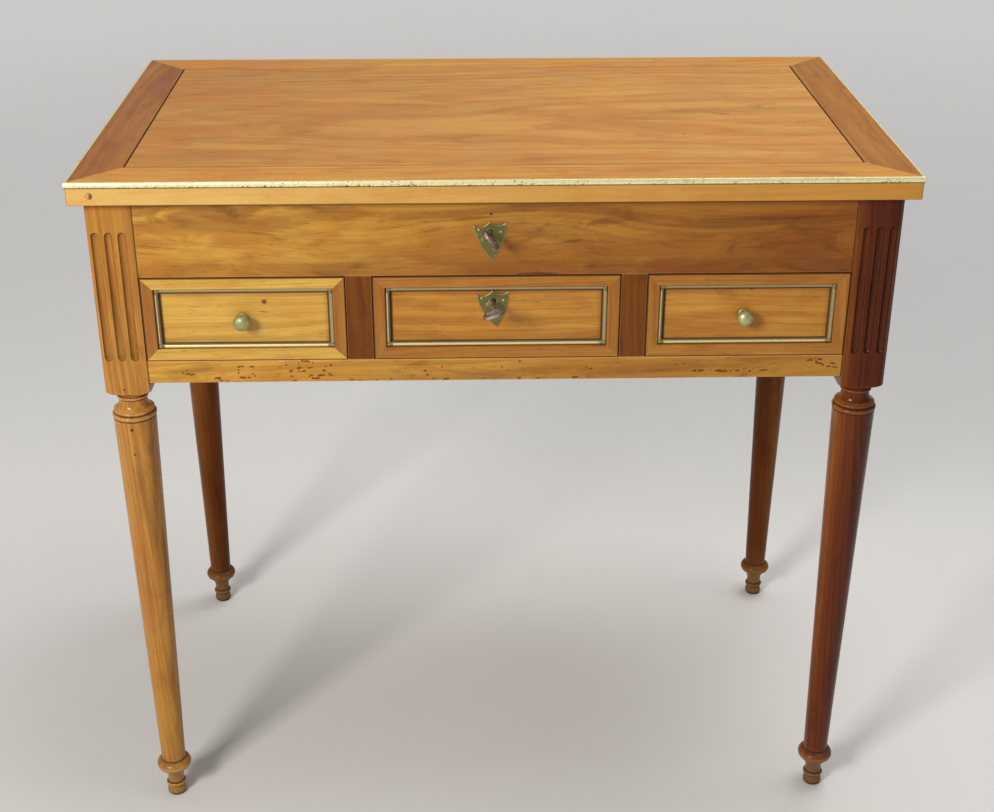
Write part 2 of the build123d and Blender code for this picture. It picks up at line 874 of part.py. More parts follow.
def knob():
    """Brass knob with a domed head, its foot on the drawer's field and its shank through it."""
    edge = knob_dome - knob_reach
    tail = board - field_sink + knob_tail
    half = outline(
        (0, -knob_reach),
        ((knob_dome_radius, knob_dome_rise - knob_reach), (knob_radius, edge)),
        ((knob_under_radius, edge + knob_under_depth), (knob_neck_radius, edge + knob_neck_start)),
        ((knob_waist_radius, -knob_waist_height), (knob_neck_radius, -knob_foot_height)),
        (knob_foot_radius - knob_foot_edge, -knob_foot_height),
        (knob_foot_radius, knob_foot_edge - knob_foot_height),
        (knob_foot_radius, 0),
        (knob_shank_radius, 0),
        (knob_shank_radius, tail),
        (0, tail),
    )
    return revolve(half, axis=Axis.Y)


# ---------------------------------------------------------------- hinges
def hinge_places():
    """X of the middle of each hinge."""
    return (-hinge_spread / 2, hinge_spread / 2)


def at_hinge(shape):
    """Puts a shape drawn about the pin's axis at the height and depth of the hinges."""
    return Pos(0, hinge_y, case_top) * shape


def leaf_recess(up):
    """Recess for one leaf, up 1 in the lid and -1 in the case, and for the barrel."""
    z = sorted((0, up * leaf_thickness))
    leaf_y = (-hinge_setback - leaf_depth - joint_fit, 0)
    recess = slab(grown(about(0, hinge_length), joint_fit), leaf_y, z)
    barrel = cylinder_x(
        hinge_barrel_radius + hinge_relief, grown(about(0, hinge_length), knuckle_gap)
    )
    return at_hinge(recess + barrel if up > 0 else recess)


def hinge_leaf(up):
    """Leaf with its knuckles: the lid's has the middle one, the case's the two outer ones."""
    third = hinge_length / 3
    half = hinge_length / 2
    knuckles = [(-third / 2 + knuckle_gap, third / 2 - knuckle_gap)]
    if up < 0:
        knuckles = [(-half, -third / 2), (third / 2, half)]
    z = sorted((0, up * leaf_thickness))
    leaf = slab((-half, half), (-hinge_setback - leaf_depth, -hinge_setback), z)
    for span in knuckles:
        leaf += slab(span, (-hinge_setback, 0), z)
        leaf += cylinder_x(hinge_barrel_radius, span)
    return at_hinge(leaf - cylinder_x(pin_radius + pin_fit, grown((-half, half), past)))


def screw_places(x):
    """Middle of each screw of the leaf at x, on the plane where the leaves meet."""
    y = back - leaf_depth / 2
    first = -(screw_count - 1) / 2
    return [Pos(x + (first + i) * screw_pitch, y, case_top) for i in range(screw_count)]


def screw_shape(fit=0.0):
    """Countersunk screw standing up from its head, or with a fit, the hole that it needs."""
    head = screw_head_radius + fit
    shank = screw_shank_radius + fit
    point = screw_length + fit
    sink = screw_head_depth
    half = outline((0, 0), (head, 0), (shank, sink), (shank, point - screw_point), (0, point))
    return revolve(Plane.XZ * half, axis=Axis.Z)


def hinge_pin():
    """Steel pin that runs the length of one hinge."""
    return at_hinge(cylinder_x(pin_radius, about(0, hinge_length)))


def hinge_nodes():
    """Leaves, pins and screws of both hinges, keyed by node name."""
    nodes = {"hinge_pins": [Pos(x, 0, 0) * hinge_pin() for x in hinge_places()]}
    for up, body in ((1, "lid"), (-1, "case")):
        flip = Rot(0, 0, 0) if up > 0 else Rot(180, 0, 0)
        leaves = []
        screws = []
        for x in hinge_places():
            leaf = Pos(x, 0, 0) * hinge_leaf(up)
            for place in screw_places(x):
                leaf -= place * flip * screw_shape(screw_fit)
                screws.append(place * flip * screw_shape())
            leaves.append(leaf)
        nodes[f"hinge_leaves_{body}"] = leaves
        nodes[f"hinge_screws_{body}"] = screws
    return nodes


# ---------------------------------------------------------------- lid
panel_x = lid_width / 2 - lid_border
panel_y = lid_depth / 2 - lid_border
tongue_low = (lid_thickness - tongue_thickness) / 2
tongue_high = tongue_low + tongue_thickness


def lid_border_section():
    """Section of a lid border: rebated above for the brass, grooved inside for the panel."""
    outer = brass_proud
    inner = lid_border
    rebate = outer + brass_rebate
    groove = inner - tongue_length - tongue_room
    return outline(
        (outer + lid_lower_edge_cut, 0),
        (inner, 0),
        (inner, tongue_low - panel_fit),
        (groove, tongue_low - panel_fit),
        (groove, tongue_high + panel_fit),
        (inner, tongue_high + panel_fit),
        (inner, lid_thickness),
        (rebate, lid_thickness),
        (rebate, lid_thickness - brass_height),
        (outer, lid_thickness - brass_height),
        (outer, lid_lower_edge_cut),
    )


def lid_brass_section():
    """Section of the brass edging: a bar let into the lid, its outer face rounded."""
    rebate = brass_proud + brass_rebate
    low = lid_thickness - brass_height
    high = lid_thickness
    middle_z = (low + high) / 2
    return outline(
        (brass_round, low), (rebate, low), (rebate, high), (brass_round, high),
        ((0, middle_z), (brass_round, low)),
    )


def at_lid(shape):
    """Puts a shape drawn about the middle of the lid's underside in its closed place."""
    return Pos(0, lid_y, case_top) * shape


def mirror_pocket():
    """Rebate in the lid's underside that holds the glass and its beads."""
    depth = glass_thickness + mirror_bead_thickness + mirror_bead_set_in
    x = grown(about(0, mirror_width), mirror_fit)
    y = grown(about(0, mirror_depth), mirror_fit)
    return slab(x, y, (0, depth))


def mirror_bead_section():
    """Section of the bead that holds the glass: its inner edge is rounded to the glass."""
    w = mirror_bead_width
    h = mirror_bead_thickness
    turn = h * quarter_round
    return outline((0, 0), (w - h, 0), ((w - turn, turn), (w, h)), (0, h))


def lid_nodes():
    """Panel, borders, brass edging and mirror of the lid, keyed by node name."""
    x = grown(about(0, 2 * panel_x), -side_joint_gap)
    y = grown(about(0, 2 * panel_y), -panel_fit)
    panel = slab(x, y, (0, lid_thickness))
    tongue = slab(grown(x, tongue_length), grown(y, tongue_length), (tongue_low, tongue_high))
    panel = panel + tongue - mirror_pocket()
    names = ("front", "rear", "left", "right")
    wood_width = lid_width - 2 * brass_proud
    wood_depth = lid_depth - 2 * brass_proud
    wood = prism(RectangleRounded(wood_width, wood_depth, lid_corner_radius), (0, lid_thickness))
    borders = mitred_frame(lid_border_section(), lid_width, lid_depth, lid_border)
    borders = dict(zip(names, [at_lid(border & wood) for border in borders]))
    for hinge_x in hinge_places():
        borders["rear"] -= Pos(hinge_x, 0, 0) * leaf_recess(1)
        for place in screw_places(hinge_x):
            borders["rear"] -= place * screw_shape(screw_fit)
    strike_recess = slab(
        grown(about(staple_offset, strike_width), joint_fit),
        grown((0, lock_thickness), joint_fit),
        (lid_key_drop, lid_key_drop + strike_thickness),
    )
    borders["front"] -= at_lid_lock(strike_recess)
    reach = brass_proud + brass_rebate
    brass = mitred_frame(lid_brass_section(), lid_width, lid_depth, reach)
    beads = mitred_frame(mirror_bead_section(), mirror_width, mirror_depth, mirror_bead_width)
    bead_low = mirror_bead_set_in
    glass_low = bead_low + mirror_bead_thickness
    glass = slab(
        about(0, mirror_width), about(0, mirror_depth), (glass_low, glass_low + glass_thickness)
    )
    nodes = {"lid_panel": [at_lid(panel)]}
    for name, bar in zip(names, brass):
        nodes[f"lid_border_{name}"] = [borders[name]]
        nodes[f"lid_brass_{name}"] = [at_lid(bar)]
    nodes["mirror_glass"] = [at_lid(glass)]
    nodes["mirror_beads"] = [at_lid(Pos(0, 0, bead_low) * bead) for bead in beads]
    nodes["lid_strike"] = [at_lid_lock(strike_plate())]
    return nodes


# ---------------------------------------------------------------- all pieces
def case_nodes():
    """Legs, boards and runners of the case, keyed by node name."""
    nodes = {}
    for end, word in ((-1, "front"), (1, "rear")):
        leg = left_leg(end)
        nodes[f"leg_{word}_left"] = [leg]
        nodes[f"leg_{word}_right"] = [mirror(leg, about=Plane.YZ)]
    side = left_side_panel()
    nodes["side_panel_left"] = [side]
    nodes["side_panel_right"] = [mirror(side, about=Plane.YZ)]
    nodes["frieze_board"] = [frieze_board()]
    nodes["bottom_rail"] = [bottom_rail()]
    nodes["back_panel"] = [back_panel()]
    nodes["divider_left"] = [divider(-1)]
    nodes["divider_right"] = [divider(1)]
    nodes["well_bottom"] = [well_bottom()]
    nodes["well_partitions"] = [well_partition(-1), well_partition(1)]
    nodes["drawer_runners"] = drawer_runners()
    nodes["drawer_guides"] = drawer_guides()
    return nodes


def lock_nodes():
    """Locks, bolts, keys and escutcheons, keyed by node name."""
    lid_lock = lock_case(lid_key_drop, lid_lock_mouth()) + lid_bolt_guide()
    on_field = Pos(0, field_sink - lock_depth, 0)
    on_frieze = Pos(0, -lock_depth, 0)
    return {
        "lid_lock_case": [at_lid_lock(lid_lock)],
        "lid_lock_bolt": [at_lid_lock(lid_bolt())],
        "lid_key": [at_lid_lock(key(lid_key_reach, lid_key_turned))],
        "lid_escutcheon": [at_lid_lock(on_frieze * shield_escutcheon(lid_shield_lean))],
        "drawer_lock_case": [at_drawer_lock(lock_case(drawer_key_drop, drawer_lock_mouth()))],
        "drawer_lock_bolt": [at_drawer_lock(drawer_bolt())],
        "drawer_key": [at_drawer_lock(key(drawer_key_reach, drawer_key_turned))],
        "drawer_escutcheon": [at_drawer_lock(on_field * shield_escutcheon(drawer_shield_lean))],
    }


def all_nodes():
    """Every node of the table."""
    side_opening = inner_x - divider_x - divider_width / 2
    side_centre = divider_x + divider_width / 2 + side_opening / 2
    nodes = case_nodes()
    nodes.update(drawer("drawer_left", -side_centre, side_opening, locked=False))
    nodes.update(drawer("drawer_right", side_centre, side_opening, locked=False))
    nodes.update(drawer("drawer_centre", 0.0, centre_opening, locked=True))
    nodes.update(lid_nodes())
    nodes.update(hinge_nodes())
    nodes.update(lock_nodes())
    return nodes


os.makedirs("parts", exist_ok=True)
for node, shapes in all_nodes().items():
    solids = [solid for shape in shapes for solid in shape.solids()]
    export_step(Compound(children=solids), f"parts/{node}.step")
    print(node, len(solids))
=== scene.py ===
# %% [markdown]
# # A poudreuse dressing table
# A poudreuse is a small dressing table of the 1780s: a fluted case on turned legs, a lid with a
# mirror under it, and a row of little drawers. The solid model already holds every board, lock
# and hinge at its real size, and its bodies already turn and slide. In Blender we give each
# board its own piece of cherry wood, age the brass and the iron, add what is too small for the
# solid model, and light it all. Everything is in metres, in the model's own place, so nothing
# has to be fitted by eye.

# %% Load the table
import math

import bmesh
import bpy
from mathutils import Euler, Matrix, Vector


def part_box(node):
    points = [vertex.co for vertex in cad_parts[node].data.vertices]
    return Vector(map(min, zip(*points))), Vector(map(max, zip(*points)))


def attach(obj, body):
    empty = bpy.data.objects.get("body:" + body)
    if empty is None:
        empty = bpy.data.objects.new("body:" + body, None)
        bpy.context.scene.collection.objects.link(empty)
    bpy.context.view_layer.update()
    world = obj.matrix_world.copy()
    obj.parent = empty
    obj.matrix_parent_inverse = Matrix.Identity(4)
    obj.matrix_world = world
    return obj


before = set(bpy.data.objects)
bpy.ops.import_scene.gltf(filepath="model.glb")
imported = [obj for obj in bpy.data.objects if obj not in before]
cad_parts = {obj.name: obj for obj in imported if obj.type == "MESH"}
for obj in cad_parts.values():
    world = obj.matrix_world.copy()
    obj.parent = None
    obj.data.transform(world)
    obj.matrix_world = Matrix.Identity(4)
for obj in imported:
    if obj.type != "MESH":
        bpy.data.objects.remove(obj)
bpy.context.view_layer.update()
scene = bpy.context.scene

# %% [markdown]
# ## The camera
# A table is best seen from a standing person's height, a little above its top and almost
# square on. A camera could be aimed with a Track To constraint, but three plain angles say the
# same and never depend on another object: how far it turns to the side, how far it looks down
# and how far it leans. The lens is a short telephoto, so the legs only draw in gently.

# %% Stand the camera in front
camera_place = Vector((-0.0347, -1.6202, 1.1951))
turned_right = math.radians(1.426)
looks_down = math.radians(26.229)
leans = math.radians(0.039)
lens_mm = 56.8

camera = bpy.data.objects.new("camera", bpy.data.cameras.new("camera"))
camera.data.lens = lens_mm
camera.data.sensor_width = 36.0
aim = (
    Matrix.Rotation(-turned_right, 4, "Z")
    @ Matrix.Rotation(math.pi / 2 - looks_down, 4, "X")
    @ Matrix.Rotation(leans, 4, "Z")
)
camera.matrix_world = Matrix.Translation(camera_place) @ aim
scene.collection.objects.link(camera)
scene.camera = camera
scene.view_settings.view_transform = "Standard"
lid_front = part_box("lid_border_front")[0].y
print("camera stands", round(lid_front - camera_place.y, 2), "m in front of the lid")

# %% [markdown]
# ## Studio light
# Polished wood shows its shape by the soft reflections that slide over it. One lamp on the left,
# at about the height of a window, gives the shadows, which fall to the right of the knobs and
# legs. A wider one under the ceiling lights the lid, a weak one on the right keeps the dark side
# readable, and an even pale world fills the rest, so that a colour comes out about as it is
# written.

# %% Hang the lamps
MIDDLE = Vector((0.0, 0.0, 0.45))


def lamp(name, place, size, power, warmth=(1.0, 1.0, 1.0)):
    """A square soft lamp that faces the middle of the table."""
    light = bpy.data.lights.new(name, "AREA")
    light.size = size
    light.energy = power
    light.color = warmth
    hung = bpy.data.objects.new(name, light)
    hung.location = place
    hung.rotation_euler = (MIDDLE - Vector(place)).to_track_quat("-Z", "Y").to_euler()
    scene.collection.objects.link(hung)


lamp("window_lamp", (-1.25, -1.8, 1.6), 0.6, 38.0, (1.0, 0.97, 0.93))
lamp("ceiling_lamp", (0.6, 0.3, 2.5), 1.5, 30.0)
lamp("fill_lamp", (2.3, -2.4, 1.2), 2.2, 3.0, (0.96, 0.98, 1.0))

world = bpy.data.worlds.new("pale_room")
world.use_nodes = True
scene.world = world
world.node_tree.nodes["Background"].inputs["Color"].default_value = (0.93, 0.94, 0.96, 1.0)
world.node_tree.nodes["Background"].inputs["Strength"].default_value = 0.3
print("lamps:", len(bpy.data.lights))

# %% [markdown]
# ## Small helpers for materials
# Every finish here is a network of nodes. Adding and joining nodes takes many lines, so a few
# short helpers come first. Each returns the socket that the next step reads, so that a recipe
# can be read from top to bottom like a list of coats.


# %% Node helpers
def srgb(r, g, b):
    """A colour as a paint card gives it, 0 to 255, in Blender's linear values."""
    shares = [c / 255 for c in (r, g, b)]
    return (*[c / 12.92 if c < 0.04 else ((c + 0.055) / 1.055) ** 2.4 for c in shares], 1.0)


def add(tree, kind, feeds=None, **settings):
    """Adds a node. A feed's value is a number, a colour, or another node's output."""
    made = tree.nodes.new(kind)
    for name, value in settings.items():
        setattr(made, name, value)
    for socket, value in (feeds or {}).items():
        if isinstance(value, bpy.types.NodeSocket):
            tree.links.new(value, made.inputs[socket])
        else:
            made.inputs[socket].default_value = value
    return made


def maths(tree, operation, *values):
    """One step of arithmetic."""
    return add(tree, "ShaderNodeMath", dict(enumerate(values)), operation=operation).outputs[0]


def scaled(tree, vector, factors):
    """A vector stretched or squeezed along each axis."""
    feeds = {0: vector, 1: factors}
    return add(tree, "ShaderNodeVectorMath", feeds, operation="MULTIPLY").outputs[0]


def between(tree, value, low, high, out_low=0.0, out_high=1.0):
    """Takes the part of a value between low and high and spreads it over a new range."""
    feeds = {0: value, 1: low, 2: high, 3: out_low, 4: out_high}
    return add(tree, "ShaderNodeMapRange", feeds, interpolation_type="SMOOTHSTEP").outputs[0]


def blend(tree, share, first, second, mode="MIX"):
    """Two colours mixed by a share from 0 to 1."""
    feeds = {0: share, 6: first, 7: second}
    made = add(tree, "ShaderNodeMix", feeds, data_type="RGBA", blend_type=mode)
    return made.outputs[2]


def noise(tree, vector, scale=1.0, detail=2.0, rough=0.5, bend=0.0):
    """Cloudy noise: its value, and its colour for noise in three directions."""
    feeds = {"Vector": vector, "Scale": scale, "Detail": detail, "Roughness": rough}
    made = add(tree, "ShaderNodeTexNoise", {**feeds, "Distortion": bend})
    return made.outputs[0], made.outputs[1]


def new_finish(name):
    """An empty material with its shader: (material, tree, shader)."""
    made = bpy.data.materials.new(name)
    made.use_nodes = True
    tree = made.node_tree
    tree.nodes.clear()
    out = tree.nodes.new("ShaderNodeOutputMaterial")
    shader = tree.nodes.new("ShaderNodeBsdfPrincipled")
    tree.links.new(shader.outputs[0], out.inputs[0])
    return made, tree, shader


def own_place(tree):
    """Where a point is on its piece, in metres."""
    return tree.nodes.new("ShaderNodeTexCoord").outputs["Object"]


print("helpers are ready")

# %% [markdown]
# ## A pale floor
# The floor only has to carry the shadows of the four feet. One large plane runs past the edge
# of the picture on every side, in a pale matt plaster with a very slight cloudiness, so that
# no horizon cuts through the table. The lamps don't reach its far end. Rather than add lamps
# for it, the plaster there gives off a little light of its own, and the Light Path node keeps
# that light off the table.

# %% Lay the floor
FLOOR_REACH = 300.0
GLOW_STARTS, GLOW_FULL, GLOW = 0.5, 4.5, 0.42
PLASTER, PLASTER_CLOUD = srgb(232, 230, 227), srgb(226, 224, 220)

floor_mesh = bpy.data.meshes.new("floor")
corners = [(-1, -1), (1, -1), (1, 1), (-1, 1)]
corners = [(x * FLOOR_REACH, y * FLOOR_REACH, 0) for x, y in corners]
floor_mesh.from_pydata(corners, [], [(0, 1, 2, 3)])
floor = bpy.data.objects.new("floor", floor_mesh)
scene.collection.objects.link(floor)
plaster, tree, shader = new_finish("pale_plaster")
cloud, _ = noise(tree, own_place(tree), 3.0, 3.0)
tree.links.new(blend(tree, cloud, PLASTER_CLOUD, PLASTER), shader.inputs["Base Color"])
shader.inputs["Roughness"].default_value = 0.9
shader.inputs["Specular IOR Level"].default_value = 0.1
distance = add(tree, "ShaderNodeVectorMath", {0: own_place(tree)}, operation="LENGTH")
far = between(tree, distance.outputs["Value"], GLOW_STARTS, GLOW_FULL, 0.0, GLOW)
rays = tree.nodes.new("ShaderNodeLightPath").outputs
seen = maths(tree, "MAXIMUM", rays["Is Camera Ray"], rays["Is Glossy Ray"])
seen = maths(tree, "MAXIMUM", seen, rays["Is Transmission Ray"])
tree.links.new(maths(tree, "MULTIPLY", far, seen), shader.inputs["Emission Strength"])
shader.inputs["Emission Color"].default_value = PLASTER
floor_mesh.materials.append(plaster)
print("floor:", 2 * FLOOR_REACH, "m wide")

# %% [markdown]
# ## How a board shows its tree
# A board is cut out of a log, and the rings of the log are what we see as grain. So the recipe
# doesn't paint lines: it measures how far each point is from the heart of the log, and lets
# that distance choose light early wood or dark late wood. The same point seen from the side,
# the end or inside a flute then fits together, as on a real board. Each board gets its own
# heart, so no two are alike. A slow noise bends the log a little, as trees do.

# %% From a place on the board to a place in the log
QUARTER = math.pi / 2
TILT = math.radians(1.6)
TURN = {"X": (0.0, TILT, 0.0), "Y": (TILT, 0.0, -QUARTER), "Z": (0.0, QUARTER + TILT, 0.0)}


def log_place(tree, place, along, middle, heart, seed):
    """Turns a place so that x runs along the grain, and y and z from the heart of the log."""
    turn = Euler(TURN[along])
    shift = Vector((seed * 0.617 % 3.0, *heart)) - turn.to_matrix() @ Vector(middle)
    feeds = {"Vector": place, "Location": shift, "Rotation": turn}
    return add(tree, "ShaderNodeMapping", feeds).outputs[0]


def bent_log(tree, place, amount):
    """The same place in a log that grew a little crooked."""
    _, way = noise(tree, scaled(tree, place, (2.2, 5.0, 5.0)), 1.0, 2.0)
    offset = add(tree, "ShaderNodeVectorMath", {0: way, 1: (0.5, 0.5, 0.5)}, operation="SUBTRACT")
    push = scaled(tree, offset.outputs[0], (0.0, amount, amount))
    return add(tree, "ShaderNodeVectorMath", {0: place, 1: push}, operation="ADD").outputs[0]


def ring_tone(tree, place, per_metre):
    """0 in the pale early wood of a year's ring and 1 in its dark late wood."""
    across = scaled(tree, place, (0.0, 1.0, 1.0))
    away = add(tree, "ShaderNodeVectorMath", {0: across}, operation="LENGTH").outputs["Value"]
    years = maths(tree, "MULTIPLY", away, per_metre)
    feeds = {"W": years, "Scale": 1.0, "Detail": 2.5, "Roughness": 0.6}
    rings = add(tree, "ShaderNodeTexNoise", feeds, noise_dimensions="1D").outputs[0]
    return between(tree, rings, 0.34, 0.70)


print("grain turns:", ", ".join(TURN))

# %% [markdown]
# ## Waxed cherry wood
# Old cherry is honey coloured with redder clouds, a few dark streaks and fine short pores. Two
# centuries of wax give it a soft shine. Its corners are painted brown, partly old wax and partly
# painted shade, and its edges pale, partly rubbed wear and partly painted highlight. The Ambient
# Occlusion node finds the corners. Turned to look inside the board, the same node finds the
# outer edges, because there the wood is thin. The Bevel node then rounds the light on them,
# because no hand-planed edge is as sharp as a computer's. A board may also grow deeper in colour
# from one end or side to the other: mostly this is painted light and shade, deeper away from
# the lamp or in the shade of the case.


# %% Where a coat of the finish lies
def at_side(tree, place, side):
    """1 on the upright bars of a mitred frame in the plane of the board, and 0 on the others."""
    axes, middle, half = side
    parts = add(tree, "ShaderNodeSeparateXYZ", {0: place}).outputs
    first, second = [
        maths(tree, "SUBTRACT", maths(tree, "ABSOLUTE", maths(tree, "SUBTRACT", parts[a], m)), h)
        for a, m, h in zip(axes, middle, half)
    ]
    return maths(tree, "GREATER_THAN", first, second)


def lines_at(tree, place, lines):
    """1 where the place along an axis has a given value, fading out over a given reach."""
    parts = add(tree, "ShaderNodeSeparateXYZ", {0: place}).outputs
    share = 0.0
    for axis, value, reach in lines:
        gap = maths(tree, "ABSOLUTE", maths(tree, "SUBTRACT", parts[axis], value))
        share = maths(tree, "MAXIMUM", share, between(tree, gap, reach * 0.5, reach, 1.0, 0.0))
    return share


def spot(tree, place, where, size):
    """1 at a point and 0 a given distance away from it, with a soft ragged edge."""
    _, ragged = noise(tree, place, 260.0, 2.0)
    feeds = {0: ragged, 1: (size * 0.6,) * 3, 2: [w - size * 0.3 for w in where]}
    centre = add(tree, "ShaderNodeVectorMath", feeds, operation="MULTIPLY_ADD").outputs[0]
    gap = add(tree, "ShaderNodeVectorMath", {0: place, 1: centre}, operation="DISTANCE")
    return between(tree, gap.outputs["Value"], size * 0.35, size, 1.0, 0.0)


def edge_lines(low, high, axes, **reaches):
    """Lines along the named edges of a box: each reach says how far its line fades."""
    across, up = axes
    ends = {"left": (across, low), "right": (across, high), "bottom": (up, low), "top": (up, high)}
    return [(ends[name][0], ends[name][1][ends[name][0]], reach) for name, reach in reaches.items()]


def marks(share, places):
    """Marks of one strength, each given as x, y, z and size."""
    return [((x, y, z), size, share) for x, y, z, size in places]


print("stiles, lines and spots can be found")

# %% [markdown]
# The coats themselves come in the order in which they got on the board: rings, red clouds,
# mottles, streaks, fibres and pores first, then the fades, which are mostly painted light and
# shade, the dust and the nails, and last the pale edges, partly rubbed wear and partly painted
# highlight, and the brown of old wax and painted shade. Each coat is a colour and a share, and the
# share says where it lies and how strong it is.

# %% The coats of the wood
STREAK = srgb(112, 64, 30)
FIBRE = srgb(150, 88, 42)
PORE = srgb(96, 54, 26)
STILE_SHADE = srgb(190, 150, 140)
# A deeper tone that the fades multiply in; most fades are painted light and shade.
DEEPER_AND_SHADED = srgb(190, 158, 136)
FLOOR_DUST = srgb(140, 112, 74)
BROWN_MARK = srgb(92, 44, 20)
# Brown for the corners and the dark lines: partly old wax and dark joints, partly painted shade.
WAX_AND_SHADE = srgb(62, 34, 14)
BEVEL = 0.0006
# How far in from an edge the pale colour reaches: partly rubbed wear, partly painted highlight.
WORN_AND_LIT_REACH = 0.0015
CORNER_REACH = 0.012
FULL_REACH = 0.42


def waxed_wood(
    name,
    light,
    deep,
    flush,
    middle,
    seed,
    along="X",
    heart=(0.03, 0.11),
    rings=210.0,
    ring_share=0.45,
    flush_share=0.5,
    streaks=0.35,
    mottling=0.4,
    crook=0.035,
    gloss=0.36,
    shine=0.22,
    mitre=None,
    knots=(),
    seams=(),
    rubbed_and_highlit=(),
    face=None,
    stile_share=0.0,
    fades=(),
    grime_and_shade=0.75,
    dusty=0.0,
    wear=0.35,
    worn=srgb(222, 172, 100),
):
    """A board of waxed wood: light and deep wood, and the reddish flush that clouds it.

    The seed chooses the place along the log. Dark lines (dark joints and painted shade), pale
    lines (rubbed wear and painted highlight) and knots are lists of lines and spots, a fade is an
    axis, where it starts and ends, and how deep it gets; most fades are painted light and shade.
    """
    made, tree, shader = new_finish(name)
    place = own_place(tree)
    log = log_place(tree, place, along, middle, heart, seed)
    if mitre:
        other = log_place(tree, place, mitre[0], middle, heart[::-1], seed + 5.3)
        stile = at_side(tree, place, mitre[1])
        feeds = {0: stile, 4: log, 5: other}
        log = add(tree, "ShaderNodeMix", feeds, data_type="VECTOR").outputs[1]
    log = bent_log(tree, log, crook)
    ring = ring_tone(tree, log, rings)
    cloud, _ = noise(tree, scaled(tree, log, (5.0, 20.0, 20.0)), 1.0, 3.0, 0.6, 0.6)
    mottle, _ = noise(tree, scaled(tree, log, (14.0, 46.0, 46.0)), 1.0, 3.0, 0.6, 0.8)
    streak, _ = noise(tree, scaled(tree, log, (3.2, 90.0, 90.0)), 1.0, 4.0, 0.6, 0.5)
    fibre, _ = noise(tree, scaled(tree, log, (9.0, 520.0, 520.0)), 1.0, 3.0, 0.6)
    pore, _ = noise(tree, scaled(tree, log, (70.0, 900.0, 900.0)), 1.0, 1.0)
    curl, _ = noise(tree, scaled(tree, log, (26.0, 9.0, 9.0)), 1.0, 2.0, 0.5, 0.4)

    colour = blend(tree, maths(tree, "MULTIPLY", ring, ring_share), light, deep)
    share = maths(tree, "MULTIPLY", between(tree, cloud, 0.42, 0.64), flush_share)
    colour = blend(tree, share, colour, flush)
    share = maths(tree, "MULTIPLY", between(tree, mottle, 0.50, 0.72), mottling)
    colour = blend(tree, share, colour, deep)
    share = maths(tree, "MULTIPLY", between(tree, mottle, 0.46, 0.28), mottling)
    colour = blend(tree, share, colour, light)
    share = maths(tree, "MULTIPLY", between(tree, streak, 0.57, 0.76), streaks)
    colour = blend(tree, share, colour, STREAK)
    share = between(tree, curl, 0.35, 0.7, 0.0, 0.18)
    colour = blend(tree, share, colour, light, "SOFT_LIGHT")
    share = between(tree, fibre, 0.35, 0.75, 0.0, 0.22)
    colour = blend(tree, share, colour, FIBRE, "MULTIPLY")
    share = between(tree, pore, 0.66, 0.78, 0.0, 0.5)
    colour = blend(tree, share, colour, PORE)
    if mitre and stile_share:
        share = maths(tree, "MULTIPLY", stile, stile_share)
        colour = blend(tree, share, colour, STILE_SHADE, "MULTIPLY")
    # Each fade darkens the piece towards one end or side: mostly painted light and shade.
    for axis, start, end, most in fades:
        way = add(tree, "ShaderNodeSeparateXYZ", {0: place}).outputs[axis]
        share = between(tree, way, start, end, 0.0, most)
        colour = blend(tree, share, colour, DEEPER_AND_SHADED, "MULTIPLY")
    if dusty:
        up = add(tree, "ShaderNodeSeparateXYZ", {0: place}).outputs[2]
        share = between(tree, up, dusty, dusty * 0.6, 0.0, 0.45)
        colour = blend(tree, share, colour, FLOOR_DUST)
    for where, size, most in knots:
        share = maths(tree, "MULTIPLY", spot(tree, place, where, size), most)
        colour = blend(tree, share, colour, BROWN_MARK)
    # A fascia's front face runs from a paler colour at its left to a deeper one at its right: a
    # painted falloff of the lamp's light.
    if face:
        front, at_left, at_right = face
        parts = add(tree, "ShaderNodeSeparateXYZ", {0: place}).outputs
        outside = between(tree, parts[1], front, front + BEVEL, 1.0, 0.0)
        facing = blend(tree, between(tree, parts[0], -FULL_REACH, FULL_REACH), at_left, at_right)
        facing = blend(tree, maths(tree, "MULTIPLY", mottle, 0.8), facing, colour)
        colour = blend(tree, outside, colour, facing)

    soft = add(tree, "ShaderNodeBevel", {"Radius": BEVEL}, samples=4).outputs[0]
    # Pale edges: partly rubbed wear, partly a painted edge highlight.
    near = {"Distance": WORN_AND_LIT_REACH}
    solid = add(tree, "ShaderNodeAmbientOcclusion", near, samples=6, inside=True, only_local=True)
    edge = between(tree, solid.outputs["AO"], 0.85, 0.45, 0.0, wear)
    # Pale listed lines: a painted highlight on the rail's top edge, and on the turned beads partly
    # rubbed wear and partly painted highlight.
    if rubbed_and_highlit:
        worn_and_lit_line = maths(tree, "MULTIPLY", lines_at(tree, place, rubbed_and_highlit), 0.3)
        edge = maths(tree, "MAXIMUM", edge, worn_and_lit_line)
    colour = blend(tree, edge, colour, worn)
    # Darker in corners and along the listed lines: partly old wax and dark joints, partly painted
    # shade.
    far = {"Distance": CORNER_REACH}
    open_air = add(tree, "ShaderNodeAmbientOcclusion", far, samples=6).outputs["AO"]
    dirt_and_shade = between(tree, open_air, 0.84, 0.30, 0.0, grime_and_shade)
    if seams:
        darkened = maths(tree, "MULTIPLY", lines_at(tree, place, seams), 0.85)
        dirt_and_shade = maths(tree, "MAXIMUM", dirt_and_shade, darkened)
    colour = blend(tree, dirt_and_shade, colour, WAX_AND_SHADE)
    tree.links.new(colour, shader.inputs["Base Color"])

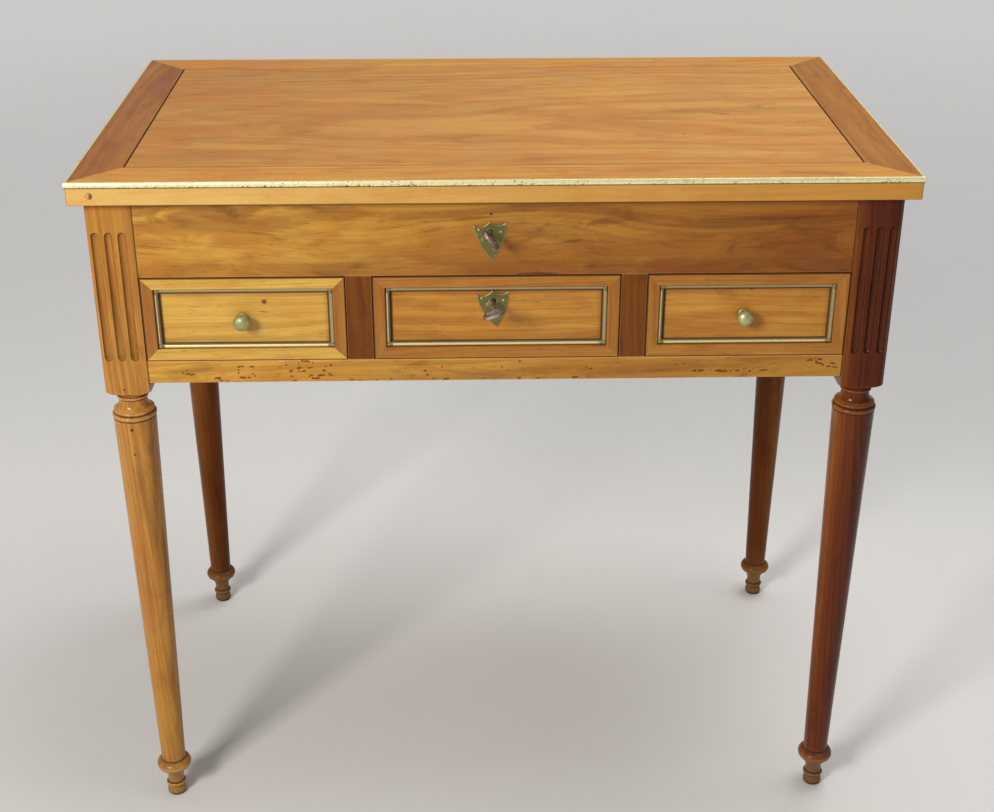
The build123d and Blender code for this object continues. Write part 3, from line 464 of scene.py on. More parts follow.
    smudge, _ = noise(tree, place, 14.0, 3.0)
    polish = between(tree, smudge, 0.3, 0.7, gloss - 0.05, gloss + 0.07)
    dull = maths(tree, "MINIMUM", maths(tree, "ADD", polish, dirt_and_shade), 0.9)
    tree.links.new(dull, shader.inputs["Roughness"])
    raised = maths(tree, "MULTIPLY", fibre, 0.6)
    height = maths(tree, "ADD", raised, maths(tree, "MULTIPLY", ring, 0.25))
    feeds = {"Strength": 0.22, "Distance": 0.0003, "Height": height, "Normal": soft}
    tree.links.new(add(tree, "ShaderNodeBump", feeds).outputs[0], shader.inputs["Normal"])
    shader.inputs["Specular IOR Level"].default_value = shine
    shader.inputs["Coat Weight"].default_value = 0.1
    shader.inputs["Coat Roughness"].default_value = 0.14
    return made


print("edges are rounded by", BEVEL * 1000, "mm and rubbed within", WORN_AND_LIT_REACH * 1000, "mm")

# %% [markdown]
# ## Choosing the boards
# A cabinet maker sorts the boards before cutting them: a wide quiet one for the lid, redder
# ones for its sides, a lively one for the frieze. Here is that choice. The colours are written
# as light wood, deep wood and flush, and "along" is the way the grain runs.

# %% The cabinet maker's choice
LID = (srgb(212, 158, 76), srgb(164, 104, 40), srgb(194, 120, 50))
BORDER = (srgb(212, 153, 68), srgb(168, 106, 38), srgb(194, 122, 45))
TAWNY = (srgb(179, 117, 36), srgb(131, 79, 20), srgb(153, 88, 22))
SIDES = (srgb(172, 112, 50), srgb(122, 72, 30), srgb(144, 80, 32))
PALE = (srgb(214, 164, 68), srgb(142, 92, 34), srgb(182, 120, 42))
STRAW = (srgb(222, 180, 86), srgb(172, 122, 50), srgb(200, 146, 60))
WARM = (srgb(206, 148, 60), srgb(144, 92, 30), srgb(178, 110, 40))
RUDDY = (srgb(188, 130, 52), srgb(132, 80, 26), srgb(158, 94, 34))
POST = (srgb(198, 142, 60), srgb(140, 90, 34), srgb(170, 106, 40))
SHADE = (srgb(178, 112, 42), srgb(122, 70, 22), srgb(148, 82, 28))
DARK = (srgb(162, 94, 24), srgb(94, 51, 8), srgb(122, 64, 10))
UMBER = (srgb(128, 72, 18), srgb(74, 37, 7), srgb(100, 51, 10))
CHESTNUT = (srgb(147, 91, 26), srgb(88, 50, 11), srgb(117, 67, 16))


def middle_of(node):
    """The middle of a CAD node's box."""
    low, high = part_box(node)
    return (low + high) / 2


def dress(node, finish):
    """Gives a CAD node a finish."""
    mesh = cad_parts[node].data
    mesh.materials.clear()
    mesh.materials.append(finish)


def dress_board(node, tones, **settings):
    """Gives a CAD node its own board of waxed wood."""
    seed = len(bpy.data.materials) * 1.37
    dress(node, waxed_wood(node + "_wood", *tones, middle_of(node), seed, **settings))


BOARDS = (LID, BORDER, TAWNY, SIDES, PALE, STRAW, WARM, RUDDY, POST, SHADE, DARK, UMBER, CHESTNUT)
print("kinds of board:", len(BOARDS))

# %% [markdown]
# ## The lid
# The lid's panel is free to shrink between its borders, and after two centuries it has: dark
# lines lie along its joints, broad at the sides and fine in front and behind. Its front edge is
# the palest wood of the table, painted paler still at its left end and deeper at its right, a
# painted falloff of the lamp's light, and the panel grows a little darker towards its left end. A
# few small eyes of dead twigs and an old spill are spots of brown on the panel and the front
# border.

# %% Dress the lid
SIDE_JOINT, LONG_JOINT = 0.0014, 0.0007
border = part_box("lid_border_left")[1].x
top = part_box("lid_panel")[1].z
joint = border + 0.0006
side_joints = [(0, joint, SIDE_JOINT), (0, -joint, SIDE_JOINT)]
long_joints = [
    (1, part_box("lid_border_front")[1].y, LONG_JOINT),
    (1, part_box("lid_border_rear")[0].y, LONG_JOINT),
]
# The fascia: painted paler at the left and deeper at the right, a falloff of the lamp's light.
fascia = (lid_front, srgb(230, 192, 112), srgb(200, 142, 60))
to_left = (0, FULL_REACH, -FULL_REACH, 0.3)
EYES = [
    (0.2282, 0.0022, top, 0.0030),
    (0.2340, 0.0000, top, 0.0036),
    (0.2390, -0.0020, top, 0.0044),
    (0.2440, -0.0040, top, 0.0050),
    (0.2490, -0.0045, top, 0.0036),
    (0.2871, 0.0233, top, 0.0034),
    (0.3180, -0.0369, top, 0.0026),
    (0.3240, -0.0371, top, 0.0028),
    (0.1931, -0.0776, top, 0.0026),
    (0.0957, 0.0660, top, 0.0028),
]
SPILL = [(0.272 + step * 0.0085, -0.2030 - 0.0010 * step, top, 0.0090) for step in range(7)]
panel = {"rings": 170, "streaks": 0.3, "fades": [to_left], "knots": marks(0.42, EYES)}
edge = {"face": fascia, "knots": marks(0.22, SPILL)}
left, right = {"flush_share": 0.6}, {"flush_share": 0.4}
dress_board("lid_panel", LID, heart=(0.04, 0.30), seams=side_joints + long_joints, **panel)
dress_board("lid_border_front", BORDER, heart=(0.09, 0.06), seams=long_joints, **edge)
dress_board("lid_border_rear", BORDER, heart=(0.07, 0.10), seams=long_joints)
dress_board("lid_border_left", SIDES, along="Y", heart=(0.05, 0.09), seams=side_joints, **left)
dress_board("lid_border_right", TAWNY, along="Y", heart=(-0.06, 0.08), seams=side_joints, **right)
print("lid:", len(EYES), "eyes in the panel, joints at", round(joint, 4), "m from the middle")

# %% [markdown]
# ## The case
# The frieze is the liveliest board, with strong streaks and a swirl near its left end. The frieze
# and the rail grow deeper in colour towards the right, a painted falloff of the lamp's light, and
# the frieze is darker along its lower edge. A nail hole over the keyhole and a crack at its lower
# edge are spots as well: the crack is a row of them, largest in its middle. Dark joints lie along
# the posts, a painted shadow lies under the lid, and a painted highlight runs along the rail's top
# edge. The side panels grow darker towards the back.

# %% Dress the case
# A painted shadow darkens the frieze under the lid, and a pale line on the rail's top edge is a
# painted highlight.
POST_JOINT, LID_SHADOW, RAIL_HIGHLIGHT = 0.0012, 0.006, 0.0022
low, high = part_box("frieze_board")
front = low.y
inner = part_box("leg_front_left")[1].x
post_joints = [(0, inner, POST_JOINT), (0, -inner, POST_JOINT)]
NAIL_HOLE = [(-0.0051, front, 0.7023, 0.0020)]
SWIRL = [(-0.2665, 0.7142), (-0.2600, 0.7110), (-0.2530, 0.7085), (-0.2480, 0.7045)]
SWIRL = [(x, front, z, 0.0075) for x, z in SWIRL]
CRACK_SPOTS = 15
CRACK = [
    (0.021 + step * 0.0026, front, low.z + 0.0002, 0.0034 - abs(step - CRACK_SPOTS // 2) * 0.0002)
    for step in range(CRACK_SPOTS)
]
frieze = {"rings": 130, "streaks": 0.8, "ring_share": 0.6, "flush_share": 0.7, "mottling": 0.7}
# The frieze is painted darker towards the right, a falloff of the lamp's light, and darker along
# its lower edge.
frieze["fades"] = [(0, -0.4, 0.4, 1.0), (2, 0.657, 0.652, 0.35)]
frieze["knots"] = marks(1.0, NAIL_HOLE) + marks(0.35, SWIRL) + marks(1.0, CRACK)
frieze["seams"] = post_joints + [(2, high.z, LID_SHADOW)]
dress_board("frieze_board", PALE, heart=(0.10, 0.035), crook=0.07, **frieze)
# The rail too is painted darker towards the right, a falloff of the lamp's light.
rail = {"streaks": 0.35, "mottling": 0.6, "fades": [(0, -0.4, 0.4, 0.6)], "seams": post_joints}
rail["rubbed_and_highlit"] = [(2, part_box("bottom_rail")[1].z, RAIL_HIGHLIGHT)]
dress_board("bottom_rail", PALE, heart=(0.08, 0.03), **rail)
to_back = (1, -0.15, 0.20, 0.7)
panel = {"along": "Y", "heart": (0.06, 0.05), "streaks": 0.4, "fades": [to_back]}
upright = {"along": "Z", "heart": (0.05, 0.04), "streaks": 0.6, "shine": 0.12}
for side, tones in (("left", POST), ("right", SHADE)):
    dress_board(f"side_panel_{side}", tones, **panel)
    dress_board(f"divider_{side}", UMBER, **upright)
print("frieze:", len(frieze["knots"]), "spots; posts begin at", round(-inner, 4), "m")

# %% [markdown]
# ## The legs
# Each leg is one piece of wood: a square fluted post above, and a turned leg below. Every groove
# that the turner cut is painted dark, partly wax and dust and partly painted shade, and the beads
# between them are painted pale, partly rubbed wear and partly painted highlight. The heights of
# both are those of the turning, so they are simply listed. The left front leg is the palest and
# the right front leg the darkest; the rear legs are darker and deepen towards the floor. These
# differences are partly the wood and partly painted light and shade.

# %% Dress the legs
BLOCK = 0.516
# Grooves painted dark, partly wax and dust and partly painted shade; beads painted pale, partly
# rubbed wear and partly painted highlight.
GROOVES = [BLOCK - drop for drop in (0.0035, 0.0109, 0.0258, 0.0315)]
GROOVES += [0.0500, 0.0363, 0.0176, 0.0124]
BEADS = [BLOCK - drop for drop in (0.0088, 0.0225, 0.0290)] + [0.0425, 0.0150]
turning = {
    "seams": [(2, height, 0.0011) for height in GROOVES],
    "rubbed_and_highlit": [(2, height, 0.0022) for height in BEADS],
}
# Painted light and shade: each leg grows darker towards the side away from the lamp or towards the
# case, the rear legs also towards the floor, the inner faces of the front posts are dark, and the
# right front post is darker at its top. The paler edge colour of the front left leg is partly
# painted highlight.
to_floor = (2, 0.50, 0.05, 0.5)
inner_face = [(0, -0.3452, -0.3445, 1.0), (0, 0.3452, 0.3445, 1.0)]
leg_tones = {
    "front_left": (POST, srgb(222, 172, 100), [(0, -0.362, -0.336, 0.5), inner_face[0]]),
    "rear_left": (CHESTNUT, srgb(160, 102, 46), [(0, -0.382, -0.356, 0.8), to_floor]),
    "front_right": (
        DARK,
        srgb(176, 116, 52),
        [(0, 0.343, 0.358, 1.0), (0, 0.348, 0.385, 0.8), inner_face[1], (2, 0.50, 0.53, 0.4)],
    ),
    "rear_right": (CHESTNUT, srgb(160, 102, 46), [(0, 0.392, 0.345, 0.9), to_floor]),
}
leg_shine = {"front_left": 0.22, "front_right": 0.16, "rear_left": 0.08, "rear_right": 0.08}
NAILS = [
    (-0.3665, -0.208, 0.476, 0.0026),
    (-0.3663, -0.208, 0.448, 0.0018),
    (-0.3697, -0.209, 0.5216, 0.0016),
    (-0.3874, -0.209, 0.6274, 0.0014),
]
leg_wood = {"along": "Z", "heart": (0.045, 0.03), "gloss": 0.28, "crook": 0.02, "grime_and_shade": 1.3}
leg_wood |= {"streaks": 0.6, "ring_share": 0.6, "dusty": 0.058, **turning}
for leg, (tones, worn, fades) in leg_tones.items():
    own = {"fades": fades, "worn": worn, "shine": leg_shine[leg]}
    own["knots"] = marks(1.0, NAILS) if leg == "front_left" else ()
    dress_board(f"leg_{leg}", tones, **own, **leg_wood)
print("boards dressed:", len([m for m in bpy.data.materials if m.name.endswith("_wood")]))

# %% [markdown]
# ## The drawers
# Each drawer front is a flat board with a mitred frame glued on. The frame's rails run along
# and its stiles run up, so the recipe asks at each point on which side of the mitre it is. The
# sides, backs and bottoms are plain pale oak, which was never waxed.

# %% Dress the drawers and the hidden boards
BEAD = 0.0042
OAK = (srgb(196, 164, 118), srgb(158, 122, 78), srgb(176, 138, 92))
drawer_tones = {
    "left": (STRAW, STRAW, 0.9),
    "centre": (WARM, RUDDY, 0.3),
    "right": (WARM, RUDDY, 0.2),
}
drawer_knots = {
    "left": marks(0.9, [(-0.226, -0.203, 0.6124, 0.0034)]),
    "right": marks(0.9, [(0.249, -0.203, 0.6225, 0.0030)]),
}
# Painted shadow: dark lines along the outer edges of each frame, widest at the top and left, stand
# for the shade of the gaps round the drawer; lines along the inside of each bead stand for the
# shadow that the frame and bead cast on the field.
GAP_SHADOW = {"left": 0.0014, "right": 0.0011, "bottom": 0.0009, "top": 0.0015}
FIELD_SHADOW = {"left": 0.0034, "right": 0.0022, "bottom": 0.0014, "top": 0.0024}
frame_wood = {"heart": (0.03, 0.05), "streaks": 0.2, "wear": 0.12, "grime_and_shade": 0.5}
field_wood = {"heart": (0.05, 0.03), "rings": 150, "streaks": 0.3}
for which, (tones, frame_tones, stile_share) in drawer_tones.items():
    low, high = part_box(f"drawer_{which}_frame")
    half = (high - low) / 2
    centre = (low + high) / 2
    side = ((0, 2), (centre.x, centre.z), (half.x, half.z))
    own = {"mitre": ("Z", side), "stile_share": stile_share}
    own["seams"] = edge_lines(low, high, (0, 2), **GAP_SHADOW)
    dress_board(f"drawer_{which}_frame", frame_tones, **own, **frame_wood)
    low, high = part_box(f"drawer_{which}_bead")
    low, high = low + Vector((BEAD, 0, BEAD)), high - Vector((BEAD, 0, BEAD))
    own = {"seams": edge_lines(low, high, (0, 2), **FIELD_SHADOW), "knots": drawer_knots.get(which, ())}
    # Painted shade: the field grows darker towards its top, its right and its left edge, under the
    # frame.
    own["fades"] = [
        (2, high.z - 0.008, high.z, 0.6),
        (0, high.x - 0.007, high.x, 0.5),
        (0, low.x + 0.005, low.x, 0.4),
    ]
    dress_board(f"drawer_{which}_front", tones, **own, **field_wood)
    for part, along in (("sides", "Y"), ("back", "X"), ("bottom", "X")):
        dress_board(f"drawer_{which}_{part}", OAK, along=along, gloss=0.6, streaks=0.15, wear=0.1)
for node, along in (
    ("back_panel", "X"),
    ("well_bottom", "X"),
    ("well_partitions", "Y"),
    ("drawer_runners", "Y"),
    ("drawer_guides", "Y"),
):
    dress_board(node, OAK, along=along, gloss=0.6, streaks=0.2, wear=0.1)
low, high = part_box("mirror_beads")
half = (high - low) / 2
side = ((0, 1), (0.0, (low.y + high.y) / 2), (half.x, half.y))
dress_board("mirror_beads", WARM, mitre=("Y", side))
wooden = [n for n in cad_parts.values() if "_wood" in n.data.materials[0].name]
print("nodes of wood:", len(wooden), "of", len(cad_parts))

# %% [markdown]
# ## Brass, iron and steel
# Metal has almost no colour of its own in the shade: it shows what is around it. So each metal
# is mostly a reflecting surface, and its age is a second, duller layer that a noise and the
# corners let through. Its pits are the specks of a finer noise, crowded in some places, and dirt
# lies in them. The hollows and some listed lines are darkened with the same brown, partly dirt
# and partly painted shade.

# %% How metal ages
# A brown for the pits, and for the dirt and painted shade in hollows and along lines.
PIT_AND_SHADE_BROWN = srgb(52, 40, 18)
CREVICE, SOFT_EDGE = 0.004, 0.0004
JOINT_AND_SHADE_SHARE, HAZE_SHADE_SHARE = 0.8, 0.62


def aged_metal(
    name,
    bright,
    dull,
    cover,
    gloss=0.28,
    grain=240.0,
    pits=0.0,
    pit_line=None,
    rub=0.6,
    rim=0.0012,
    seams=(),
    shade_haze=(),
    metal=0.92,
    grime_and_shade=0.9,
):
    """Metal with a dull layer over a share of it, dark pits, and edges rubbed bright."""
    made, tree, shader = new_finish(name)
    place = own_place(tree)
    patch, _ = noise(tree, place, grain, 4.0, 0.65, 0.3)
    fine, _ = noise(tree, place, 900.0, 3.0)
    patch = maths(tree, "ADD", patch, maths(tree, "MULTIPLY", fine, 0.12))
    tarnish = between(tree, patch, 0.70 - cover * 0.45, 0.90 - cover * 0.35)
    near = {"Distance": rim}
    solid = add(tree, "ShaderNodeAmbientOcclusion", near, samples=6, inside=True, only_local=True)
    edge = between(tree, solid.outputs["AO"], 0.85, 0.45, 0.0, rub)
    tarnish = maths(tree, "MULTIPLY", tarnish, maths(tree, "SUBTRACT", 1.0, edge))
    # The hollows within a few millimetres are darkened: dirt, partly painted shade.
    far = {"Distance": CREVICE}
    open_air = add(tree, "ShaderNodeAmbientOcclusion", far, samples=6).outputs["AO"]
    dirt_and_shade = between(tree, open_air, 0.75, 0.3, 0.0, grime_and_shade)
    speck, _ = noise(tree, scaled(tree, place, (0.6, 0.6, 1.0)), 640.0, 2.0, 0.6)
    crowd, _ = noise(tree, place, 26.0, 2.0)
    speck = maths(tree, "ADD", speck, between(tree, crowd, 0.35, 0.7, -0.05, 0.09))
    if pit_line:
        crust = maths(tree, "MULTIPLY", lines_at(tree, place, pit_line), 0.12)
        speck = maths(tree, "ADD", speck, crust)
    hole = between(tree, speck, 0.67, 0.76, 0.0, pits)
    colour = blend(tree, tarnish, bright, dull)
    colour = blend(tree, edge, colour, bright)
    # Listed dark lines and bands: painted shadow and shade on the beads, and a darkened joint along
    # the edging's lower edge.
    for share, lines in ((JOINT_AND_SHADE_SHARE, seams), (HAZE_SHADE_SHARE, shade_haze)):
        if lines:
            darkened = maths(tree, "MULTIPLY", lines_at(tree, place, lines), share)
            dirt_and_shade = maths(tree, "MAXIMUM", dirt_and_shade, darkened)
    spoiled = maths(tree, "MAXIMUM", dirt_and_shade, hole)
    colour = blend(tree, spoiled, colour, PIT_AND_SHADE_BROWN)
    tree.links.new(colour, shader.inputs["Base Color"])
    matt = maths(tree, "MAXIMUM", spoiled, maths(tree, "MULTIPLY", tarnish, 0.45))
    tree.links.new(between(tree, matt, 0.0, 1.0, metal, 0.12), shader.inputs["Metallic"])
    tree.links.new(between(tree, matt, 0.0, 1.0, gloss, 0.75), shader.inputs["Roughness"])
    soft = add(tree, "ShaderNodeBevel", {"Radius": SOFT_EDGE}, samples=4).outputs[0]
    height = maths(tree, "SUBTRACT", maths(tree, "MULTIPLY", patch, 0.4), hole)
    feeds = {"Strength": 0.3, "Distance": 0.0002, "Height": height, "Normal": soft}
    tree.links.new(add(tree, "ShaderNodeBump", feeds).outputs[0], shader.inputs["Normal"])
    return made


print("dirt lies in corners within", CREVICE * 1000, "mm")

# %% [markdown]
# The brass edging of the lid is the brightest metal, and pitted most along its lower edge. The
# shields and knobs keep their greenish tarnish and are rubbed bright where hands touch them.
# The beads round the drawers are nearly clean; dark lines along their inner edges are painted
# shadow, and darker bands along the top and the right are painted shade. The locks are iron, and
# the keys, bolts and screws are steel.

# %% Fit the metals
low_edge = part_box("lid_brass_front")[0].z
edging = aged_metal(
    "edging_brass",
    srgb(252, 243, 188),
    srgb(212, 194, 120),
    0.35,
    0.36,
    pits=0.9,
    pit_line=[(2, low_edge, 0.003)],
    seams=[(2, low_edge, 0.0018)],
    metal=0.6,
)
worn = {"gloss": 0.34, "grain": 160.0, "rub": 1.0, "rim": 0.0016}
fittings = aged_metal("fittings_brass", srgb(214, 206, 150), srgb(112, 106, 56), 1.1, **worn)
worn = {"gloss": 0.42, "grain": 60.0}
knob_brass = aged_metal("knob_brass", srgb(200, 194, 142), srgb(156, 154, 106), 0.7, **worn)
worn = {"gloss": 0.4, "grain": 160.0, "rub": 0.15}
hinge_brass = aged_metal("hinge_brass", srgb(196, 178, 118), srgb(120, 104, 56), 0.8, **worn)
iron = aged_metal("lock_iron", srgb(120, 116, 110), srgb(70, 58, 48), 0.8, gloss=0.45)
worn = {"gloss": 0.3, "grain": 70.0, "rub": 0.9}
steel = aged_metal("key_steel", srgb(184, 168, 154), srgb(108, 90, 76), 0.7, **worn)

# Painted shadow and shade on the beads: dark lines along their inner edges, widest at the left and
# top, and darker bands along the top and the right.
BEAD_SHADOW = {"left": 0.0030, "right": 0.0014, "top": 0.0028, "bottom": 0.0010}
beading = {"gloss": 0.36, "grain": 300.0, "metal": 0.6, "grime_and_shade": 0.35}
for which in drawer_tones:
    low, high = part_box(f"drawer_{which}_bead")
    inset = Vector((BEAD, 0, BEAD))
    shade_band = edge_lines(low, high, (0, 2), top=0.0060)
    shade_band += edge_lines(low + inset, high - inset, (0, 2), right=0.0040)
    own = {"seams": edge_lines(low + inset, high - inset, (0, 2), **BEAD_SHADOW), "shade_haze": shade_band}
    tone = srgb(248, 230, 168), srgb(206, 188, 124)
    dress(f"drawer_{which}_bead", aged_metal(f"beading_{which}", *tone, 0.2, **own, **beading))
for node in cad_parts:
    if node.startswith("lid_brass"):
        dress(node, edging)
    elif node.endswith("_knob"):
        dress(node, knob_brass)
    elif "escutcheon" in node:
        dress(node, fittings)
    elif node.startswith("hinge_leaves"):
        dress(node, hinge_brass)
    elif node.endswith("lock_case") or node == "lid_strike":
        dress(node, iron)
    elif node.endswith(("_bolt", "_key")) or node.startswith(("hinge_screws", "hinge_pins")):
        dress(node, steel)
print("metals:", [m.name for m in (edging, fittings, knob_brass, iron, steel)])

# %% [markdown]
# ## The old mirror
# An old mirror is plain glass with silver behind it, and the damp has eaten small dark spots
# into the silver from the edges. A distance from the middle tells the noise where to bite.

# %% Silver the mirror
SILVER, BARE = srgb(226, 230, 228), srgb(78, 70, 58)
silver, tree, shader = new_finish("old_mirror")
place = own_place(tree)
low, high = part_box("mirror_glass")
centre, half = (low + high) / 2, (high - low) / 2
parts = add(tree, "ShaderNodeSeparateXYZ", {0: place}).outputs
sideways = maths(tree, "DIVIDE", maths(tree, "ABSOLUTE", parts[0]), half.x)
from_centre = maths(tree, "ABSOLUTE", maths(tree, "SUBTRACT", parts[1], centre.y))
upward = maths(tree, "DIVIDE", from_centre, half.y)
rim = between(tree, maths(tree, "MAXIMUM", sideways, upward), 0.70, 1.0, 0.0, 0.22)
bite, _ = noise(tree, place, 190.0, 5.0, 0.7)
eaten = between(tree, maths(tree, "ADD", bite, rim), 0.72, 0.80)
tree.links.new(blend(tree, eaten, SILVER, BARE), shader.inputs["Base Color"])
tree.links.new(between(tree, eaten, 0.0, 1.0, 0.04, 0.5), shader.inputs["Roughness"])
shader.inputs["Metallic"].default_value = 1.0
dress("mirror_glass", silver)
print("mirror:", [round(v * 2, 3) for v in half], "m")

# %% [markdown]
# ## Pins of the shields
# Each brass shield is held by two small domed pins, one on each side of the keyhole. The same
# pin comes back four times, so it is made once, and Geometry Nodes set a copy on every point of
# a mesh. A list of objects would do as well, but the tree keeps the pin's size in one place.
# Two helpers come first, because the worm holes need them too: one begins a tree, and one runs
# it and keeps what it made as a plain mesh.


# %% Begin a tree and run it
def new_tree(name, inputs):
    """A tree of geometry nodes with named number inputs: (tree, its input node, its output)."""
    tree = bpy.data.node_groups.new(name, "GeometryNodeTree")
    tree.interface.new_socket("Geometry", in_out="INPUT", socket_type="NodeSocketGeometry")
    for label, value in inputs.items():
        socket = tree.interface.new_socket(label, in_out="INPUT", socket_type="NodeSocketFloat")
        socket.default_value = value
    tree.interface.new_socket("Geometry", in_out="OUTPUT", socket_type="NodeSocketGeometry")
    return tree, tree.nodes.new("NodeGroupInput"), tree.nodes.new("NodeGroupOutput")


def grow(name, points, tree, sizes, finish, body):
    """Runs a tree on a mesh, keeps the result as a plain mesh and lets it ride on a body."""
    source = bpy.data.objects.new(name + "_source", points)
    scene.collection.objects.link(source)
    modifier = source.modifiers.new("tree", "NODES")
    modifier.node_group = tree
    for socket in tree.interface.items_tree:
        if socket.in_out == "INPUT" and socket.name in sizes:
            modifier[socket.identifier] = sizes[socket.name]
    finished = source.evaluated_get(bpy.context.evaluated_depsgraph_get())
    grown = bpy.data.meshes.new_from_object(finished)
    bpy.data.objects.remove(source)
    grown.materials.clear()
    grown.materials.append(finish)
    piece = bpy.data.objects.new(name, grown)
    scene.collection.objects.link(piece)
    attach(piece, body)
    return piece


print("a tree takes named sizes, and grow sets them")

# %% [markdown]
# A pin is a ball pressed flat: as wide as the Radius and as proud as the Height.

# %% Set the pins of the shields
PIN = {"Radius": 0.0011, "Height": 0.0005}
PIN_ABOVE, PIN_ASIDE, PIN_SLOPE = 0.0105, 0.0105, 0.1
pin_tree, given, result = new_tree("pins", PIN)
ball = add(pin_tree, "GeometryNodeMeshUVSphere", {"Segments": 12, "Rings": 8, "Radius": 1.0})
radius, height = given.outputs["Radius"], given.outputs["Height"]
size = add(pin_tree, "ShaderNodeCombineXYZ", {0: radius, 1: height, 2: radius})
feeds = {"Points": given.outputs[0], "Instance": ball.outputs[0], "Scale": size.outputs[0]}
pins = add(pin_tree, "GeometryNodeInstanceOnPoints", feeds)
real = add(pin_tree, "GeometryNodeRealizeInstances", {0: pins.outputs[0]})
feeds = {"Geometry": real.outputs[0], "Material": fittings}
pin_tree.links.new(add(pin_tree, "GeometryNodeSetMaterial", feeds).outputs[0], result.inputs[0])

for node, body in (("lid_escutcheon", "case"), ("drawer_escutcheon", "drawer_centre")):
    low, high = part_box(node)
    middle = (low + high) / 2
    places = [
        (middle.x + aside, low.y, middle.z + PIN_ABOVE - aside * PIN_SLOPE)
        for aside in (-PIN_ASIDE, PIN_ASIDE)
    ]
    points = bpy.data.meshes.new(node + "_points")
    points.from_pydata(places, [], [])
    pinned = grow(node + "_pins", points, pin_tree, PIN, fittings, body)
    print(pinned.name, "faces:", len(pinned.data.polygons))

# %% [markdown]
# ## Worm holes
# Furniture beetles have been at the soft wood of the front. Their holes are a millimetre or two
# across, and where a tunnel was planed open it shows as a short dark trench along the grain.
# They come in families, so we lay small patches on the boards where the beetles were, and let
# Geometry Nodes scatter dark flat plugs on them, each stretched by chance.

# %% The tree of the worm holes
HOLE = {"Crowd": 1.0, "Longest": 0.0040, "Height": 0.0014}
ROUND_HOLE, HOLE_PROUD = 0.0007, 0.00012
BALL_FACES = 60
RANDOM = "FunctionNodeRandomValue"
hole_tree, given, result = new_tree("worm_holes", HOLE)
crowd = add(hole_tree, "GeometryNodeInputNamedAttribute", {"Name": "crowd"}, data_type="FLOAT")
dense = maths(hole_tree, "MULTIPLY", crowd.outputs[0], given.outputs["Crowd"])
feeds = {"Mesh": given.outputs[0], "Density": dense, "Seed": 5}
strewn = add(hole_tree, "GeometryNodeDistributePointsOnFaces", feeds)
chance = add(hole_tree, RANDOM, {"Seed": 11}, data_type="FLOAT").outputs[1]
few = maths(hole_tree, "POWER", chance, 3.0)
long = maths(hole_tree, "MULTIPLY_ADD", few, given.outputs["Longest"], ROUND_HOLE)
tall = add(hole_tree, RANDOM, {2: 0.45, 3: 1.0, "Seed": 12}, data_type="FLOAT").outputs[1]
tall = maths(hole_tree, "MULTIPLY", tall, given.outputs["Height"])
size = add(hole_tree, "ShaderNodeCombineXYZ", {0: long, 1: HOLE_PROUD, 2: tall})
lean = add(hole_tree, RANDOM, {2: -0.2, 3: 0.2, "Seed": 13}, data_type="FLOAT").outputs[1]
turn = add(hole_tree, "ShaderNodeCombineXYZ", {1: lean})
ball = add(hole_tree, "GeometryNodeMeshUVSphere", {"Segments": 10, "Rings": 6, "Radius": 1.0})
feeds = {"Points": strewn.outputs[0], "Instance": ball.outputs[0]}
feeds |= {"Rotation": turn.outputs[0], "Scale": size.outputs[0]}
holes = add(hole_tree, "GeometryNodeInstanceOnPoints", feeds)
real = add(hole_tree, "GeometryNodeRealizeInstances", {0: holes.outputs[0]})

hollow, tree, shader = new_finish("hollow_wood")
speck, _ = noise(tree, own_place(tree), 700.0, 2.0)
shade = blend(tree, speck, srgb(88, 50, 18), srgb(150, 96, 40))
tree.links.new(shade, shader.inputs["Base Color"])
shader.inputs["Roughness"].default_value = 0.9
shader.inputs["Specular IOR Level"].default_value = 0.1
feeds = {"Geometry": real.outputs[0], "Material": hollow}
hole_tree.links.new(add(hole_tree, "GeometryNodeSetMaterial", feeds).outputs[0], result.inputs[0])
print("sizes of a hole:", HOLE)

# %% [markdown]
# Each family is a patch on the bottom rail. A line says where it starts and ends along the
# rail, where it starts and ends above the rail's lower edge, and about how many holes it has.

# %% Scatter the worm holes
rail_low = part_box("bottom_rail")[0]
front, bottom = rail_low.y, rail_low.z
FAMILIES = [
    (-0.314, -0.299, 0.008, 0.014, 6),
    (-0.277, -0.262, 0.001, 0.005, 4),
    (-0.260, -0.228, 0.003, 0.018, 9),
    (-0.209, -0.160, 0.003, 0.019, 22),
    (-0.205, -0.165, 0.020, 0.0225, 5),
    (-0.200, 0.100, 0.0005, 0.002, 12),
    (-0.095, -0.052, 0.005, 0.015, 4),
    (-0.028, 0.030, 0.006, 0.020, 4),
    (0.080, 0.098, 0.009, 0.013, 2),
    (0.176, 0.196, 0.014, 0.018, 2),
    (0.196, 0.232, 0.006, 0.0085, 12),
    (0.232, 0.268, 0.006, 0.012, 10),
    (0.308, 0.322, 0.015, 0.020, 7),
    (0.320, 0.342, 0.010, 0.016, 9),
]
corners, faces, crowds = [], [], []
for left, right, low, high, count in FAMILIES:
    faces.append([len(corners) + step for step in range(4)])
    corners += [(left, front, bottom + low), (right, front, bottom + low)]
    corners += [(right, front, bottom + high), (left, front, bottom + high)]
    crowds.append(count / ((right - left) * (high - low)))
patches = bpy.data.meshes.new("worm_patches")
patches.from_pydata(corners, [], faces)
patches.attributes.new("crowd", "FLOAT", "FACE").data.foreach_set("value", crowds)
worms = grow("worm_holes", patches, hole_tree, HOLE, hollow, "case")
print("worm holes:", len(worms.data.polygons) // BALL_FACES)

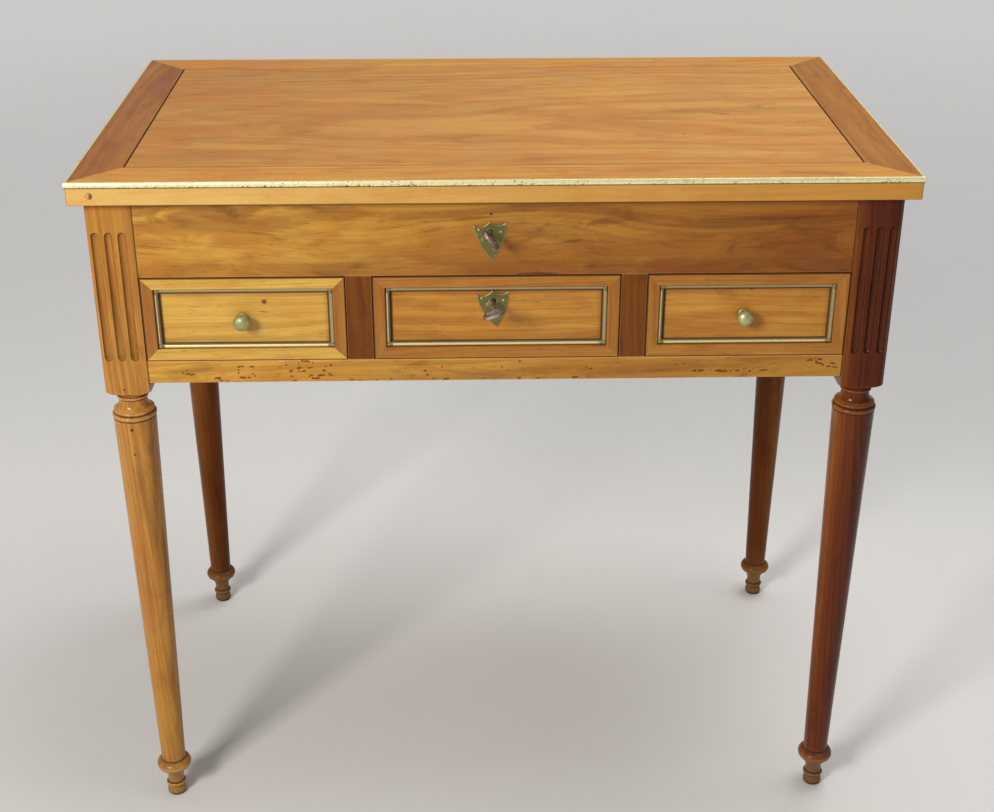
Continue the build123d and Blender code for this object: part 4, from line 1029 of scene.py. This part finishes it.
# %% [markdown]
# ## A peg in the lid
# At the left end of the lid's front edge a round peg closes an old screw hole. It is a small
# disc, a little proud of the edge and with its rim rounded off, and dark wax lies around it. We
# lay three rings of points, one in the wood and two outside, and join them to a closed shape.

# %% Drive in the peg
PEG = Vector((-0.3785, lid_front, 0.7270))
PEG_SIDES = 24
PEG_RINGS = ((0.0033, -0.0010), (0.0033, 0.0001), (0.0027, 0.0003))
PEG_PALE, PEG_BUFF = srgb(220, 178, 106), srgb(182, 136, 74)
PEG_STAIN, PEG_RIM = srgb(112, 76, 34), srgb(128, 90, 42)
mesh = bmesh.new()
rings = []
for radius, out in PEG_RINGS:
    circle = bmesh.ops.create_circle(mesh, segments=PEG_SIDES, radius=radius)["verts"]
    for vertex in circle:
        vertex.co = PEG + Vector((vertex.co.x, -out, vertex.co.y))
    rings.append(circle)
for inner, outer in zip(rings, rings[1:]):
    for step in range(PEG_SIDES):
        after = (step + 1) % PEG_SIDES
        mesh.faces.new((inner[step], inner[after], outer[after], outer[step]))
mesh.faces.new(rings[-1])
mesh.faces.new(rings[0])
bmesh.ops.recalc_face_normals(mesh, faces=mesh.faces)
peg_mesh = bpy.data.meshes.new("lid_peg")
mesh.to_mesh(peg_mesh)
mesh.free()
peg_wood, tree, shader = new_finish("peg_wood")
place = own_place(tree)
gap = add(tree, "ShaderNodeVectorMath", {0: place, 1: PEG}, operation="DISTANCE").outputs["Value"]
fibre, _ = noise(tree, place, 900.0, 3.0)
blot, _ = noise(tree, place, 330.0, 2.0)
wood = blend(tree, fibre, PEG_BUFF, PEG_PALE)
wood = blend(tree, between(tree, blot, 0.42, 0.56), wood, PEG_STAIN)
rim = between(tree, gap, 0.0020, 0.0034, 0.0, 0.6)
tree.links.new(blend(tree, rim, wood, PEG_RIM), shader.inputs["Base Color"])
shader.inputs["Roughness"].default_value = 0.5
peg_mesh.materials.append(peg_wood)
peg = bpy.data.objects.new("lid_peg", peg_mesh)
scene.collection.objects.link(peg)
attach(peg, "lid")
print("peg:", len(peg_mesh.polygons), "faces")
